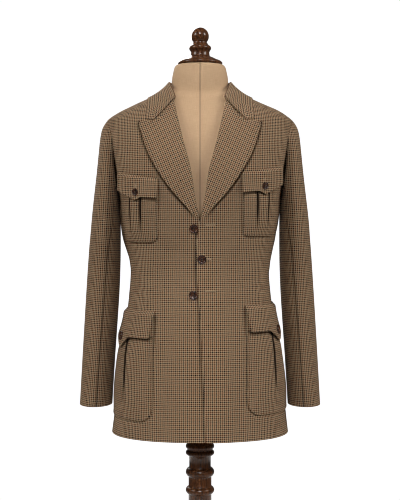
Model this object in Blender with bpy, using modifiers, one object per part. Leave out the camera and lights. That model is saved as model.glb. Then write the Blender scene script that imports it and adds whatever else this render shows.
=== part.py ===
"""A check tweed jacket on a limbless dress form with a turned wooden stand.

Metres, +Z up. The front faces -Y and the wearer's left is +X. The origin is on the floor, under the
middle of the base. The trunk of the jacket is one surface, given by level sections round the Z axis.
Each piece of cloth starts as a flat slab of u by v cells and is bent on to that surface, so that both
faces of neighbouring pieces keep the same gap at a seam.
"""

import math

import bmesh
import bpy
import numpy as np
from mathutils import Vector

# Driving sizes
CLOTH = 0.002
SEAM_GAP = 0.0003
LAY_GAP = 0.0008
ARMHOLE_GAP = 0.0012
HEM_Z = 0.669
BREAK_Z = 1.150
NECK_Z = 1.459
NECK_HALF_WIDTH = 0.074
OVERLAP_LIFT = CLOTH + LAY_GAP
OVERLAP_FLAT = 0.036
OVERLAP_END = 0.075
LEFT_RISE = 0.0135
SIDES = {"left": 1, "right": -1}

# Level sections of the trunk: sizes from the Z axis, and how square the section is
TRUNK_COLUMNS = ("z", "half_width", "front", "back", "square")
TRUNK = (
    (HEM_Z, 0.204, 0.150, 0.146, 2.30),
    (0.710, 0.199, 0.148, 0.147, 2.30),
    (0.790, 0.193, 0.144, 0.146, 2.30),
    (0.870, 0.182, 0.139, 0.141, 2.30),
    (0.930, 0.171, 0.133, 0.132, 2.32),
    (0.989, 0.164, 0.126, 0.118, 2.35),
    (1.029, 0.161, 0.122, 0.108, 2.40),
    (1.059, 0.163, 0.122, 0.105, 2.45),
    (1.087, 0.168, 0.124, 0.104, 2.50),
    (1.115, 0.174, 0.127, 0.106, 2.60),
    (1.143, 0.178, 0.131, 0.109, 2.70),
    (1.200, 0.184, 0.138, 0.117, 2.95),
    (1.263, 0.197, 0.140, 0.125, 3.00),
    (1.310, 0.207, 0.134, 0.126, 2.90),
    (1.360, 0.213, 0.118, 0.119, 2.60),
    (1.3865, 0.2150, 0.105, 0.1115, 2.42),
    (1.390, 0.212, 0.103, 0.110, 2.40),
    (1.400, 0.199, 0.097, 0.105, 2.30),
    (1.409, 0.185, 0.092, 0.100, 2.20),
    (1.423, 0.156, 0.083, 0.092, 2.10),
    (1.439, 0.120, 0.073, 0.082, 2.05),
    (NECK_Z, NECK_HALF_WIDTH, 0.060, 0.068, 2.00),
)

# Front edge and, above the break, roll line: distance from the centre towards the piece's own side
EDGE_COLUMNS = ("z", "left", "right")
FRONT_EDGE = (
    (HEM_Z, 0.0130, -0.0420),
    (0.794, 0.0079, -0.0360),
    (0.937, 0.0009, -0.0300),
    (1.012, -0.0053, -0.0240),
    (1.069, -0.0088, -0.0190),
    (1.106, -0.0066, -0.0140),
    (BREAK_Z, -0.0022, -0.0030),
    (1.1634, 0.0012, 0.0012),
    (1.2164, 0.0121, 0.0121),
    (1.263, 0.0190, 0.0190),
    (1.303, 0.0292, 0.0292),
    (1.345, 0.0402, 0.0402),
    (1.382, 0.0490, 0.0490),
    (1.4295, 0.0602, 0.0602),
    (NECK_Z, NECK_HALF_WIDTH, NECK_HALF_WIDTH),
)

# Side seam: how far behind the Z axis it runs
SEAM_COLUMNS = ("z", "y")
SIDE_SEAM = ((HEM_Z, 0.080), (0.790, 0.078), (0.930, 0.066), (1.029, 0.050), (1.120, 0.028), (1.200, 0.002))

# Sleeve rings, each between an outer and an inner point, with half its depth and its middle
SLEEVE_COLUMNS = ("x_out", "z_out", "x_in", "z_in", "half_depth", "y_mid")
SLEEVE = (
    (0.2120, 1.3900, 0.1845, 1.200, 0.0700, 0.002),
    (0.2195, 1.3815, 0.1854, 1.198, 0.0730, 0.003),
    (0.2270, 1.3675, 0.1858, 1.195, 0.0760, 0.004),
    (0.2315, 1.3480, 0.1860, 1.190, 0.0785, 0.005),
    (0.2355, 1.3150, 0.1861, 1.181, 0.0805, 0.007),
    (0.2400, 1.2750, 0.1862, 1.168, 0.0815, 0.009),
    (0.2465, 1.2180, 0.1862, 1.143, 0.0815, 0.011),
    (0.2530, 1.1600, 0.1862, 1.110, 0.0795, 0.013),
    (0.2590, 1.0900, 0.1865, 1.068, 0.0755, 0.014),
    (0.2650, 1.0000, 0.1885, 1.000, 0.0705, 0.013),
    (0.2690, 0.9300, 0.1925, 0.930, 0.0660, 0.010),
    (0.2735, 0.8400, 0.1980, 0.840, 0.0600, 0.002),
    (0.2785, 0.7320, 0.2038, 0.732, 0.0545, -0.008),
)

# The forearm seam: degrees round the sleeve from its outside, by the share of the way to the cuff
FOREARM_COLUMNS = ("along", "degrees")
FOREARM_SEAM = (
    (0.00, 130),
    (0.30, 130),
    (0.50, 128),
    (0.58, 121),
    (0.65, 112),
    (0.76, 106),
    (0.86, 103),
    (1.00, 98),
)
HIND_SEAM = (-112.0, -104.0)
DRAWN_RINGS = 5
SLEEVE_MEAN_R = 0.06

# Lapel: its outer edge, and the gorge seam where it meets the collar
LAPEL_COLUMNS = ("z", "x")
LAPEL_EDGE = (
    (1.1600, 0.0075),
    (1.1876, 0.0308),
    (1.2231, 0.0619),
    (1.2609, 0.0885),
    (1.3014, 0.1115),
    (1.3595, 0.1315),
    (1.3764, 0.1350),
)
LAPEL_INSET = 0.0015
LAPEL_FOOT_Z = 1.1690
GORGE_TOP_Z = 1.4266
GORGE_DIP = 0.0265
GORGE_TURN = 0.437
GORGE_GAP = 0.0012

# Collar: its leaf edge and stand
LEAF_BACK_Z = 1.428
LEAF_SHOULDER_Z = 1.442
LEAF_X = 0.1195
LEAF_CORNER_Z = 1.3830
LEAF_DIP = 0.0225
LEAF_TURN = 0.545
LEAF_HOLLOW = 2.2
LEAF_LINES = (0.29, LEAF_TURN, 0.80, 1)
STAND_BACK = 0.020
STAND_SIDE = 0.0155
STAND_FRONT = 0.005
FOLD_WIDTH = 0.0055
COLLAR_GAP = 0.0009

# Lines across the collar's stand and over its fold, as shares of the stand's height and the fold's width
STAND_COLUMNS = ("c", "rise", "inside")
STAND = (
    (0.00, 0.00, 0.30),
    (0.12, 0.45, 0.65),
    (0.24, 0.88, 1.00),
    (0.31, 1.00, 0.50),
    (0.38, 0.90, 0.00),
)

# Pockets: measured round the trunk from the centre front, and up from the floor
CHEST = dict(middle=0.1430, half_width=0.0475, bottom=1.108, top=1.2455, slope=0.157, corner=0.013,
             pleat=0.016)
HIP = dict(middle=0.2045, half_width=0.0965, bottom=0.711, top=0.9395, slope=0.0, corner=0.030,
           pleat=0.0225)
CHEST_FLAP = dict(middle=0.1430, top_half=0.0495, foot_half=0.0495, top=1.2565, slope=0.157)
HIP_FLAP = dict(middle=0.2045, top_half=0.103, foot_half=0.093, top=0.9535, slope=0.0)

# A flap's foot, from its inner to its outer end: height above the floor before the left side's rise
FLAP_COLUMNS = ("across", "z")
CHEST_FOOT = (
    (-1.00, 1.2050),
    (-0.72, 1.2070),
    (-0.30, 1.2082),
    (-0.14, 1.2055),
    (0.01, 1.2020),
    (0.24, 1.2078),
    (0.70, 1.2190),
    (1.00, 1.2262),
)
HIP_FOOT = (
    (-1.00, 0.8960),
    (-0.96, 0.8930),
    (-0.45, 0.8928),
    (-0.22, 0.8820),
    (0.00, 0.8690),
    (0.22, 0.8820),
    (0.45, 0.8928),
    (0.96, 0.8930),
    (1.00, 0.8960),
)
PLEAT_LIFT = 0.0015
PLEAT_STEP = 0.01
PLEAT_LINES = 4
FLAP_LIFT = LAY_GAP + CLOTH + PLEAT_LIFT + LAY_GAP
FLAP_ROWS = (0, 0.35, 0.68, 0.87, 1)

# Buttons: radius, and the height and distance of each from the floor and the centre line
BUTTON_SHANK = 0.0010
FRONT_BUTTON_R = 0.0100
CHEST_BUTTON_R = 0.0080
FRONT_BUTTONS = {
    "upper": ("right", 0.0142, 1.1377),
    "middle": ("left", 0.0042, 1.0700),
    "lower": ("right", 0.0146, 0.9900),
}
CHEST_BUTTON_Z = 1.2200
CHEST_BUTTON_IN = 0.0005
HIP_BUTTON_Z = 0.8920

# Half of a button's outline, as shares of its radius and of its thickness over the shank
BUTTON_THICKNESS = 0.38
BUTTON_FACE = ((0, 0.66), (0.56, 0.60), (0.80, 1.00), (0.93, 0.92), (1.00, 0.55), (0.82, 0))
SHANK_R = 0.25
BUTTON_SIDES = 12

# Dress form: level sections like the trunk's
FORM = (
    (0.780, 0.138, 0.096, 0.098, 2.20),
    (0.788, 0.150, 0.106, 0.110, 2.20),
    (0.870, 0.158, 0.113, 0.118, 2.20),
    (0.950, 0.150, 0.108, 0.108, 2.20),
    (1.030, 0.142, 0.102, 0.090, 2.20),
    (1.100, 0.149, 0.108, 0.090, 2.30),
    (1.200, 0.163, 0.122, 0.101, 2.50),
    (1.270, 0.178, 0.125, 0.109, 2.60),
    (1.330, 0.189, 0.114, 0.109, 2.50),
    (1.370, 0.192, 0.099, 0.102, 2.40),
    (1.3875, 0.189, 0.090, 0.096, 2.30),
    (1.404, 0.179, 0.082, 0.090, 2.20),
    (1.4202, 0.1555, 0.074, 0.083, 2.10),
    (1.4362, 0.1195, 0.066, 0.074, 2.05),
    (1.446, 0.0930, 0.061, 0.066, 2.00),
    (1.453, 0.0760, 0.0595, 0.063, 2.00),
    (1.464, 0.0668, 0.0590, 0.0615, 2.00),
    (1.488, 0.0648, 0.0580, 0.0605, 2.00),
    (1.502, 0.0620, 0.0560, 0.0580, 2.00),
    (1.511, 0.0598, 0.0540, 0.0560, 2.00),
    (1.5165, 0.0560, 0.0510, 0.0530, 2.00),
    (1.5185, 0.0500, 0.0460, 0.0480, 2.00),
)
FORM_SIDES = 24

# Turned wood: the cap's ball and slope, the pole's beads with the pole's radius below each, and the base
BALL_R = 0.0206
BALL_Z = 1.5853
CAP_BEAD = (0.0195, 1.5576, 0.0064)
CAP_SLOPE = (
    (0.0218, 1.5480),
    (0.0228, 1.5394),
    (0.0310, 1.5352),
    (0.0400, 1.5306),
    (0.0490, 1.5268),
    (0.0524, 1.5232),
)
CAP_FOOT_R = 0.0514
POLE_R = 0.0250
# z, radius, reach, pole's radius below
POLE_BEADS = (
    (0.6310, 0.0070, 0.0330, 0.0285),
    (0.6160, 0.0060, 0.0330, 0.0250),
    (0.5710, 0.0110, 0.0330, 0.0265),
    (0.5290, 0.0090, 0.0330, 0.0265),
    (0.0960, 0.0090, 0.0370, 0.0310),
)
BEAD_TURN = 65
BEAD_NECK = 0.0010
BASE_R = 0.190
BASE_H = 0.075
BASE_SLOPE = (
    (0.046, BASE_H),
    (0.050, 0.066),
    (0.060, 0.058),
    (0.090, 0.049),
    (0.140, 0.041),
    (0.172, 0.035),
)
BASE_EDGE = (BASE_R - 0.016, 0.016, 0.016)
BASE_FOOT_R = BASE_R - 0.006

# Cells of each piece of cloth
FRONT_CELLS = 11
BACK_CELLS = 7
SLEEVE_CELLS = {"top": 11, "under": 7}
LAPEL_CELLS = (6, 13)
COLLAR_CELLS = 24
SMOOTH_BELOW = math.radians(40)


def named(columns, rows):
    """A table's columns as arrays, by name."""
    return {name: np.array(values, float) for name, values in zip(columns, zip(*rows))}


def through(xs, ys, x):
    """Values at x of a smooth curve through the points (xs, ys) that doesn't overshoot them.

    Each stretch is a cubic whose end slopes are the harmonic means of the slopes on both sides.
    """
    steps = np.diff(xs)
    slopes = np.diff(ys) / steps
    before, after = slopes[:-1], slopes[1:]
    level = before * after <= 0
    mean = 2 * before * after / np.where(level, 1, before + after)
    ends = np.concatenate([slopes[:1], np.where(level, 0, mean), slopes[-1:]])
    i = np.clip(np.searchsorted(xs, x, side="right") - 1, 0, len(steps) - 1)
    t = (x - xs[i]) / steps[i]
    rise = ys[i + 1] - ys[i]
    start, end = ends[i] * steps[i], ends[i + 1] * steps[i]
    return ys[i] + t * start + t**2 * (3 * rise - 2 * start - end) + t**3 * (start + end - 2 * rise)


def step(a, b, x):
    """0 below a, 1 above b, and a smooth rise between them."""
    t = np.clip((x - a) / (b - a), 0, 1)
    return t * t * (3 - 2 * t)


TRUNK_AT = named(TRUNK_COLUMNS, TRUNK)
FORM_AT = named(TRUNK_COLUMNS, FORM)
EDGE_AT = named(EDGE_COLUMNS, FRONT_EDGE)
SEAM_AT = named(SEAM_COLUMNS, SIDE_SEAM)
SLEEVE_AT = named(SLEEVE_COLUMNS, SLEEVE)
FOREARM_AT = named(FOREARM_COLUMNS, FOREARM_SEAM)
LAPEL_AT = named(LAPEL_COLUMNS, LAPEL_EDGE)
STAND_AT = named(STAND_COLUMNS, STAND)
CHEST_FLAP["foot"] = named(FLAP_COLUMNS, CHEST_FOOT)
HIP_FLAP["foot"] = named(FLAP_COLUMNS, HIP_FOOT)
FOLD_END = STAND_AT["c"][-1]
ARMPIT_Z = SLEEVE_AT["z_in"][0]
TIP_Z = SLEEVE_AT["z_out"][0]


def section(z, table=TRUNK_AT):
    """Half width, front, back and squareness of the level section at z."""
    return [through(table["z"], table[name], z) for name in TRUNK_COLUMNS[1:]]


def trunk(angle, z, table=TRUNK_AT):
    """The point at a height, and at an angle round Z from the centre front towards the left side.

    A section is a curve |x / half_width|^n + |y / depth|^n = 1.
    """
    half_width, front, back, n = section(z, table)
    s, c = np.sin(angle), np.cos(angle)
    depth = np.where(c > 0, front, back)
    r = ((np.abs(s) / half_width) ** n + (np.abs(c) / depth) ** n) ** (-1 / n)
    return np.stack([r * s, -r * c, z + 0 * angle], axis=-1)


def unit(v):
    return v / np.linalg.norm(v, axis=-1, keepdims=True)


def normal_of(surface, a, b, da, db):
    """Unit normals of a surface at (a, b), from the differences across it both ways."""
    along = surface(a + da, b) - surface(a - da, b)
    up = surface(a, b + db) - surface(a, b - db)
    return unit(np.cross(along, up))


def on_trunk(angle, z, lift=0.0):
    """A point on the trunk, moved out along its normal."""
    lift = np.broadcast_to(lift, np.shape(z))
    return trunk(angle, z) + lift[..., None] * normal_of(trunk, angle, z, 1e-3, 1e-4)


def angle_at_x(x, z):
    """Angle of the point on the front that lies at x."""
    half_width, front, _, n = section(z)
    y = front * np.maximum(1 - np.abs(x / half_width) ** n, 0) ** (1 / n)
    return np.arctan2(x, y)


def angle_at_y(y, z):
    """Angle of the point on the left side that lies at y."""
    half_width, front, back, n = section(z)
    depth = np.where(y < 0, front, back)
    x = half_width * np.maximum(1 - np.abs(y / depth) ** n, 0) ** (1 / n)
    return np.arctan2(x, -y)


def angle_at_girth(girth, z):
    """Angle of the point that lies this far round the left side from the centre front."""
    angles = np.radians(np.arange(0, 181, 2.0))
    line = trunk(angles[None, :], np.ravel(z)[:, None])
    pieces = np.linalg.norm(np.diff(line, axis=1), axis=2)
    along = np.concatenate([np.zeros((len(line), 1)), np.cumsum(pieces, axis=1)], axis=1)
    found = [np.interp(g, row, angles) for g, row in zip(np.ravel(girth), along)]
    return np.reshape(found, np.shape(z))


def material(name, colour, roughness):
    made = bpy.data.materials.new(name)
    made.use_nodes = True
    shader = made.node_tree.nodes["Principled BSDF"]
    shader.inputs["Base Color"].default_value = (*colour, 1)
    shader.inputs["Roughness"].default_value = roughness
    return made


def add(name, mesh, finish):
    piece = bpy.data.objects.new(name, mesh)
    mesh.materials.append(finish)
    jacket.objects.link(piece)
    return piece


def cloth(name, columns, rows, bend, finish):
    """A piece of cloth: a flat slab of cells whose points bend(u, v, outer) puts in place.

    u and v run from 0 to 1 over the slab, and outer is 1 on its outer face and 0 on its inner one.
    """
    bm = bmesh.new()
    bmesh.ops.create_grid(bm, x_segments=columns, y_segments=rows, size=0.5)
    bmesh.ops.solidify(bm, geom=bm.faces[:], thickness=1.0)
    flat = np.array([vertex.co for vertex in bm.verts])
    outer = (flat[:, 2] > flat[:, 2].mean()).astype(float)
    placed = bend(flat[:, 0] + 0.5, flat[:, 1] + 0.5, outer)
    for vertex, point in zip(bm.verts, placed):
        vertex.co = point
    if bm.calc_volume(signed=True) < 0:
        bmesh.ops.reverse_faces(bm, faces=bm.faces[:])
    mesh = bpy.data.meshes.new(name)
    bm.to_mesh(mesh)
    bm.free()
    mesh.shade_smooth()
    mesh.set_sharp_from_angle(angle=SMOOTH_BELOW)
    add(name, mesh, finish)


def armhole(t, face):
    """Angle and height along the armhole from the armpit, t = 0, to the shoulder tip, t = 1.

    It is an oval seen from the side, and face is -1 for its front half and 1 for its back half.
    """
    turn = math.pi * (1 - t)
    z = (TIP_Z + ARMPIT_Z) / 2 + (TIP_Z - ARMPIT_Z) / 2 * np.cos(turn)
    y = SLEEVE_AT["y_mid"][0] + face * SLEEVE_AT["half_depth"][0] * np.sin(turn)
    return angle_at_y(y, z), z


# Rows of a trunk panel: the share that lies below the armpit, and the rows above it
LOWER_ROWS = 12
UPPER_ROWS = (0, 0.10, 0.22, 0.36, 0.50, 0.64, 0.76, 0.86, 0.93, 0.97, 1)
BACK_NECK_ROW = 0.64
EDGE_EASE = 1.5
ACROSS_EASE = 1.1
OVERLAP_FADE_Z = (1.20, 1.30)
PANEL_ROWS = LOWER_ROWS + len(UPPER_ROWS) - 1
BELOW = LOWER_ROWS / PANEL_ROWS


def rows_of(v):
    """Split a panel's v into its share of the way up to the armpit, and above it."""
    lower = np.clip(v / BELOW, 0, 1)
    above = np.clip((v - BELOW) / (1 - BELOW), 0, 1)
    upper = np.interp(above, np.linspace(0, 1, len(UPPER_ROWS)), UPPER_ROWS)
    return lower, upper


def outer_side(v, face):
    """The side seam up to the armpit, then the armhole up to the shoulder tip, less half a seam gap."""
    lower, upper = rows_of(v)
    seam_z = HEM_Z + (ARMPIT_Z - HEM_Z) * lower
    seam = angle_at_y(through(SEAM_AT["z"], SEAM_AT["y"], seam_z), seam_z)
    hole, hole_z = armhole(upper, face)
    half_gap = SEAM_GAP / 2 / np.linalg.norm(trunk(seam, seam_z)[..., :2], axis=-1)
    at_seam = (upper <= 0) | (upper >= 1)
    angle = np.where(upper > 0, hole, seam) + np.where(at_seam, face * half_gap, 0)
    return angle, np.where(upper > 0, hole_z, seam_z)


def edge_x(side, z):
    """Distance of a front's edge or roll line from the centre, towards its own side."""
    return through(EDGE_AT["z"], EDGE_AT[side], z)


def front_lift(side, x, z):
    """The left front lies over the right one near its edge, below the break."""
    if side == "right":
        return 0 * x
    near = 1 - step(OVERLAP_FLAT, OVERLAP_END, x - edge_x(side, z))
    return OVERLAP_LIFT * near * (1 - step(*OVERLAP_FADE_Z, z))


def build_front(side):
    sign = SIDES[side]

    def bend(u, v, outer):
        lower, upper = rows_of(v)
        roll_z = BREAK_Z + (NECK_Z - BREAK_Z) * (1 - (1 - upper) ** EDGE_EASE)
        z_edge = np.where(upper > 0, roll_z, HEM_Z + (BREAK_Z - HEM_Z) * lower)
        angle_edge = np.minimum(angle_at_x(edge_x(side, z_edge), z_edge), math.pi / 2 - SEAM_GAP)
        angle_side, z_side = outer_side(v, -1)
        across = u**ACROSS_EASE
        z = z_edge + (z_side - z_edge) * across
        angle = angle_edge + (angle_side - angle_edge) * across
        lift = front_lift(side, trunk(angle, z)[:, 0], z)
        return on_trunk(sign * angle, z, lift - CLOTH * (1 - outer))

    cloth(f"front_{side}", FRONT_CELLS, PANEL_ROWS, bend, tweed)


def build_back(side):
    sign = SIDES[side]

    def bend(u, v, outer):
        lower, upper = rows_of(v)
        rising = np.clip(upper / BACK_NECK_ROW, 0, 1)
        round_neck = np.clip((upper - BACK_NECK_ROW) / (1 - BACK_NECK_ROW), 0, 1)
        upper_z = ARMPIT_Z + (NECK_Z - ARMPIT_Z) * rising
        z_middle = np.where(upper > 0, upper_z, HEM_Z + (ARMPIT_Z - HEM_Z) * lower)
        middle_gap = SEAM_GAP / 2 / np.abs(trunk(0 * z_middle + math.pi, z_middle)[:, 1])
        angle_middle = np.maximum(math.pi - middle_gap - math.pi / 2 * round_neck, math.pi / 2 + SEAM_GAP)
        angle_side, z_side = outer_side(v, 1)
        z = z_middle + (z_side - z_middle) * u
        angle = angle_middle + (angle_side - angle_middle) * u
        return on_trunk(sign * angle, z, -CLOTH * (1 - outer))

    cloth(f"back_{side}", BACK_CELLS, PANEL_ROWS, bend, tweed)


def sleeve_skin(turn, along):
    """The left sleeve's outer skin: turn is 0 outside, 90 degrees in front; along is 0 at the armhole.

    Rings are ovals between an outer and an inner point. Near the armhole their x is drawn to the trunk's.
    """
    ring = along * (len(SLEEVE) - 1)
    numbers = np.arange(len(SLEEVE), dtype=float)
    at = {name: through(numbers, values, ring) for name, values in SLEEVE_AT.items()}
    outwards, forwards = np.cos(turn), np.sin(turn)
    x = (at["x_out"] + at["x_in"]) / 2 + (at["x_out"] - at["x_in"]) / 2 * outwards
    z = (at["z_out"] + at["z_in"]) / 2 + (at["z_out"] - at["z_in"]) / 2 * outwards
    y = at["y_mid"] - at["half_depth"] * forwards
    first = {name: values[0] for name, values in SLEEVE_AT.items()}
    hole_y = first["y_mid"] - first["half_depth"] * forwards
    hole_z = (TIP_Z + ARMPIT_Z) / 2 + (TIP_Z - ARMPIT_Z) / 2 * outwards
    hole_x = trunk(angle_at_y(hole_y, hole_z), hole_z)[..., 0]
    flat_x = (first["x_out"] + first["x_in"]) / 2 + (first["x_out"] - first["x_in"]) / 2 * outwards
    drawn = np.clip(1 - ring / DRAWN_RINGS, 0, 1) ** 2
    return np.stack([x + (hole_x + ARMHOLE_GAP - flat_x) * drawn, y, z], axis=-1)


def build_sleeve(side, part):
    sign = SIDES[side]

    def bend(u, along, outer):
        forearm = np.radians(through(FOREARM_AT["along"], FOREARM_AT["degrees"], along))
        hind = np.interp(along, (0, 1), np.radians(HIND_SEAM))
        half_gap = SEAM_GAP / 2 / SLEEVE_MEAN_R
        start, end = (hind, forearm) if part == "top" else (forearm, hind + 2 * math.pi)
        turn = start + half_gap + (end - start - 2 * half_gap) * u
        skin = sleeve_skin(turn, along)
        facing = normal_of(sleeve_skin, turn, along, 1e-3, 1e-4)
        radial = np.stack([0 * turn, -np.sin(turn), np.cos(turn)], axis=-1)
        at_hole = np.clip(1 - along * (len(SLEEVE) - 1), 0, 1)[:, None]
        facing = unit(facing * (1 - at_hole) + radial * at_hole)
        return (skin - CLOTH * (1 - outer)[:, None] * facing) * (sign, 1, 1)

    cloth(f"sleeve_{part}_{side}", SLEEVE_CELLS[part], len(SLEEVE) - 1, bend, tweed)


def build_lapel(side):
    sign = SIDES[side]

    def bend(u, v, outer):
        z_roll = LAPEL_FOOT_Z + (GORGE_TOP_Z - GORGE_GAP - LAPEL_FOOT_Z) * v
        x_roll = edge_x(side, z_roll) + LAPEL_INSET
        z_edge = LAPEL_AT["z"][0] + (LAPEL_AT["z"][-1] - LAPEL_AT["z"][0]) * v
        x_edge = through(LAPEL_AT["z"], LAPEL_AT["x"], z_edge)
        dip = np.interp(u, (0, GORGE_TURN, 1), (0, GORGE_DIP, 0)) * v**4
        x = x_roll + (x_edge - x_roll) * u
        z = z_roll + (z_edge - z_roll) * u - dip
        lift = front_lift(side, x, z) + LAY_GAP + CLOTH * outer
        return on_trunk(sign * angle_at_x(x, z), z, lift)

    cloth(f"lapel_{side}", *LAPEL_CELLS, bend, tweed)


# Lines across the collar, from the foot of the stand over the fold to the leaf's edge
COLLAR_LINES = np.concatenate([STAND_AT["c"], FOLD_END + (1 - FOLD_END) * np.array(LEAF_LINES)])
SHOULDER_AT = 0.5


def collar_middle(s, c):
    """The middle of the collar's cloth: s runs from the right gorge to the left one, c from foot to edge.

    The leaf is a patch of the trunk between the neckline and the leaf's edge, raised by the stand at the
    fold. The stand goes straight up from just inside the neckline.
    """
    far = np.minimum(np.abs(s), 1)
    sign = np.where(s < 0, -1, 1)
    at_back = far < SHOULDER_AT
    behind = np.clip(far / SHOULDER_AT, 0, 1)
    ahead = np.clip((far - SHOULDER_AT) / (1 - SHOULDER_AT), 0, 1)
    back_angle = math.pi - math.pi / 2 * behind
    neck_z = NECK_Z - (NECK_Z - GORGE_TOP_Z) * ahead**EDGE_EASE
    neck = np.where(at_back, back_angle, angle_at_x(edge_x("left", neck_z), neck_z))
    edge_z = np.where(
        at_back,
        LEAF_BACK_Z + (LEAF_SHOULDER_Z - LEAF_BACK_Z) * behind**2,
        LEAF_SHOULDER_Z - (LEAF_SHOULDER_Z - LEAF_CORNER_Z) * ahead**EDGE_EASE,
    )
    edge = np.where(at_back, back_angle, angle_at_x(0 * far + LEAF_X, edge_z))
    stand = np.interp(far, (0, SHOULDER_AT, 1), (STAND_BACK, STAND_SIDE, STAND_FRONT))
    w = np.clip((c - FOLD_END) / (1 - FOLD_END), 0, 1)
    dip = np.interp(w, (0, LEAF_TURN, 1), (0, LEAF_DIP, 0)) * ahead**4
    angle, z = neck + (edge - neck) * w, neck_z + (edge_z - neck_z) * w - dip
    off = COLLAR_GAP + CLOTH / 2
    leaf = on_trunk(sign * angle, z, 0 * z + off)
    rise = np.interp(c, STAND_AT["c"], STAND_AT["rise"]) * stand * (1 - w) ** LEAF_HOLLOW
    inside = np.interp(c, STAND_AT["c"], STAND_AT["inside"]) * FOLD_WIDTH
    facing = normal_of(trunk, sign * neck, neck_z, 1e-3, 1e-4)
    down_neck = trunk(sign * neck, neck_z) * (1, 1, 0)
    inwards = -unit(down_neck - np.sum(down_neck * facing, axis=-1, keepdims=True) * facing)
    return leaf + inside[..., None] * inwards + rise[..., None] * (0, 0, 1)


def build_collar():
    def bend(u, v, outer):
        s = 2 * u - 1
        c = np.interp(v, np.linspace(0, 1, len(COLLAR_LINES)), COLLAR_LINES)
        facing = normal_of(collar_middle, s, c, 2e-3, 2e-2)
        return collar_middle(s, c) + (outer - 0.5)[:, None] * CLOTH * facing

    cloth("collar", COLLAR_CELLS, len(COLLAR_LINES) - 1, bend, tweed)


def rise_of(side):
    """The left pockets sit a little higher than the right ones."""
    return LEFT_RISE if side == "left" else 0.0


def build_pocket(name, side, size, columns, rows):
    """A patch pocket with a box pleat down its middle and cut bottom corners."""
    sign = SIDES[side]
    pleat = size["pleat"] / size["half_width"]
    lines = np.concatenate([
        np.linspace(-1, -pleat - PLEAT_STEP, columns),
        np.linspace(-pleat + PLEAT_STEP, pleat - PLEAT_STEP, PLEAT_LINES),
        np.linspace(pleat + PLEAT_STEP, 1, columns),
    ])

    def bend(u, v, outer):
        across = np.interp(u, np.linspace(0, 1, len(lines)), lines)
        girth = size["middle"] + size["half_width"] * across
        cut = np.clip(1 - (1 - np.abs(across)) * size["half_width"] / size["corner"], 0, 1)
        bottom = size["bottom"] + size["corner"] * (1 - np.sqrt(1 - cut**2))
        top = size["top"] + size["slope"] * size["half_width"] * across
        z = bottom + (top - bottom) * v + rise_of(side)
        lift = LAY_GAP + (CLOTH + PLEAT_LIFT * (np.abs(across) < pleat)) * outer
        return on_trunk(sign * angle_at_girth(girth, z), z, lift)

    cloth(f"{name}_{side}", len(lines) - 1, rows, bend, tweed)


def flap_lift(v):
    """A flap lies on the panel at its seam, and on the pocket below it."""
    return LAY_GAP + (FLAP_LIFT - LAY_GAP) * step(0, 1 - FLAP_ROWS[-2], 1 - v)


def build_flap(name, side, size, columns):
    """A pocket flap whose foot runs to a point in the middle."""
    sign = SIDES[side]

    def bend(u, v, outer):
        v = np.interp(v, np.linspace(0, 1, len(FLAP_ROWS)), FLAP_ROWS)
        across = 2 * u - 1
        half = size["foot_half"] + (size["top_half"] - size["foot_half"]) * v
        top = size["top"] + size["slope"] * size["top_half"] * across
        foot = through(size["foot"]["across"], size["foot"]["z"], across)
        z = foot + (top - foot) * v + rise_of(side)
        girth = size["middle"] + half * across
        return on_trunk(sign * angle_at_girth(girth, z), z, flap_lift(v) + CLOTH * outer)

    cloth(f"{name}_{side}", columns, len(FLAP_ROWS) - 1, bend, tweed)


def turned(name, profile, finish, steps):
    """A turned solid from a profile of (radius, height) points, top to bottom, both ends on the axis."""
    mesh = bpy.data.meshes.new(name)
    points = [(r, 0, z) for r, z in profile]
    mesh.from_pydata(points, [(i, i + 1) for i in range(len(points) - 1)], [])
    piece = add(name, mesh, finish)
    screw = piece.modifiers.new("Turn", "SCREW")
    screw.steps = steps
    screw.render_steps = steps
    screw.use_merge_vertices = True
    screw.merge_threshold = 0.00001
    return piece


def arc(r, z, radius, start, end, count):
    """Points of a round moulding about (r, z), from one angle above the level to another."""
    angles = np.radians(np.linspace(start, end, count))
    return [(r + radius * math.cos(a), z + radius * math.sin(a)) for a in angles]


def build_button(name, angle, z, lift, radius):
    """A dished horn button on a thread shank, its axis on the cloth's normal."""
    thick = BUTTON_THICKNESS * radius
    profile = [(r * radius, BUTTON_SHANK + share * thick) for r, share in BUTTON_FACE]
    profile += [(SHANK_R * radius, BUTTON_SHANK), (SHANK_R * radius, 0), (0, 0)]
    piece = turned(name, profile, horn, BUTTON_SIDES)
    angle, z = np.array([angle]), np.array([z])
    facing = Vector(normal_of(trunk, angle, z, 1e-3, 1e-4)[0])
    piece.location = Vector(on_trunk(angle, z, lift + SEAM_GAP)[0])
    piece.rotation_euler = facing.to_track_quat("Z", "Y").to_euler()


def build_buttons():
    for name, (side, x, z) in FRONT_BUTTONS.items():
        at_x, at_z = np.array([x]), np.array([z])
        lift = front_lift(side, at_x, at_z)[0]
        build_button(f"button_front_{name}", SIDES[side] * angle_at_x(at_x, at_z)[0], z, lift, FRONT_BUTTON_R)
    for side, sign in SIDES.items():
        for place, girth, height, radius in (
            ("chest", CHEST_FLAP["middle"] - CHEST_BUTTON_IN, CHEST_BUTTON_Z, CHEST_BUTTON_R),
            ("hip", HIP_FLAP["middle"], HIP_BUTTON_Z, FRONT_BUTTON_R),
        ):
            z = height + rise_of(side)
            angle = angle_at_girth(np.array([girth]), np.array([z]))[0]
            build_button(f"button_{place}_{side}", sign * angle, z, FLAP_LIFT + CLOTH, radius)


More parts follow.
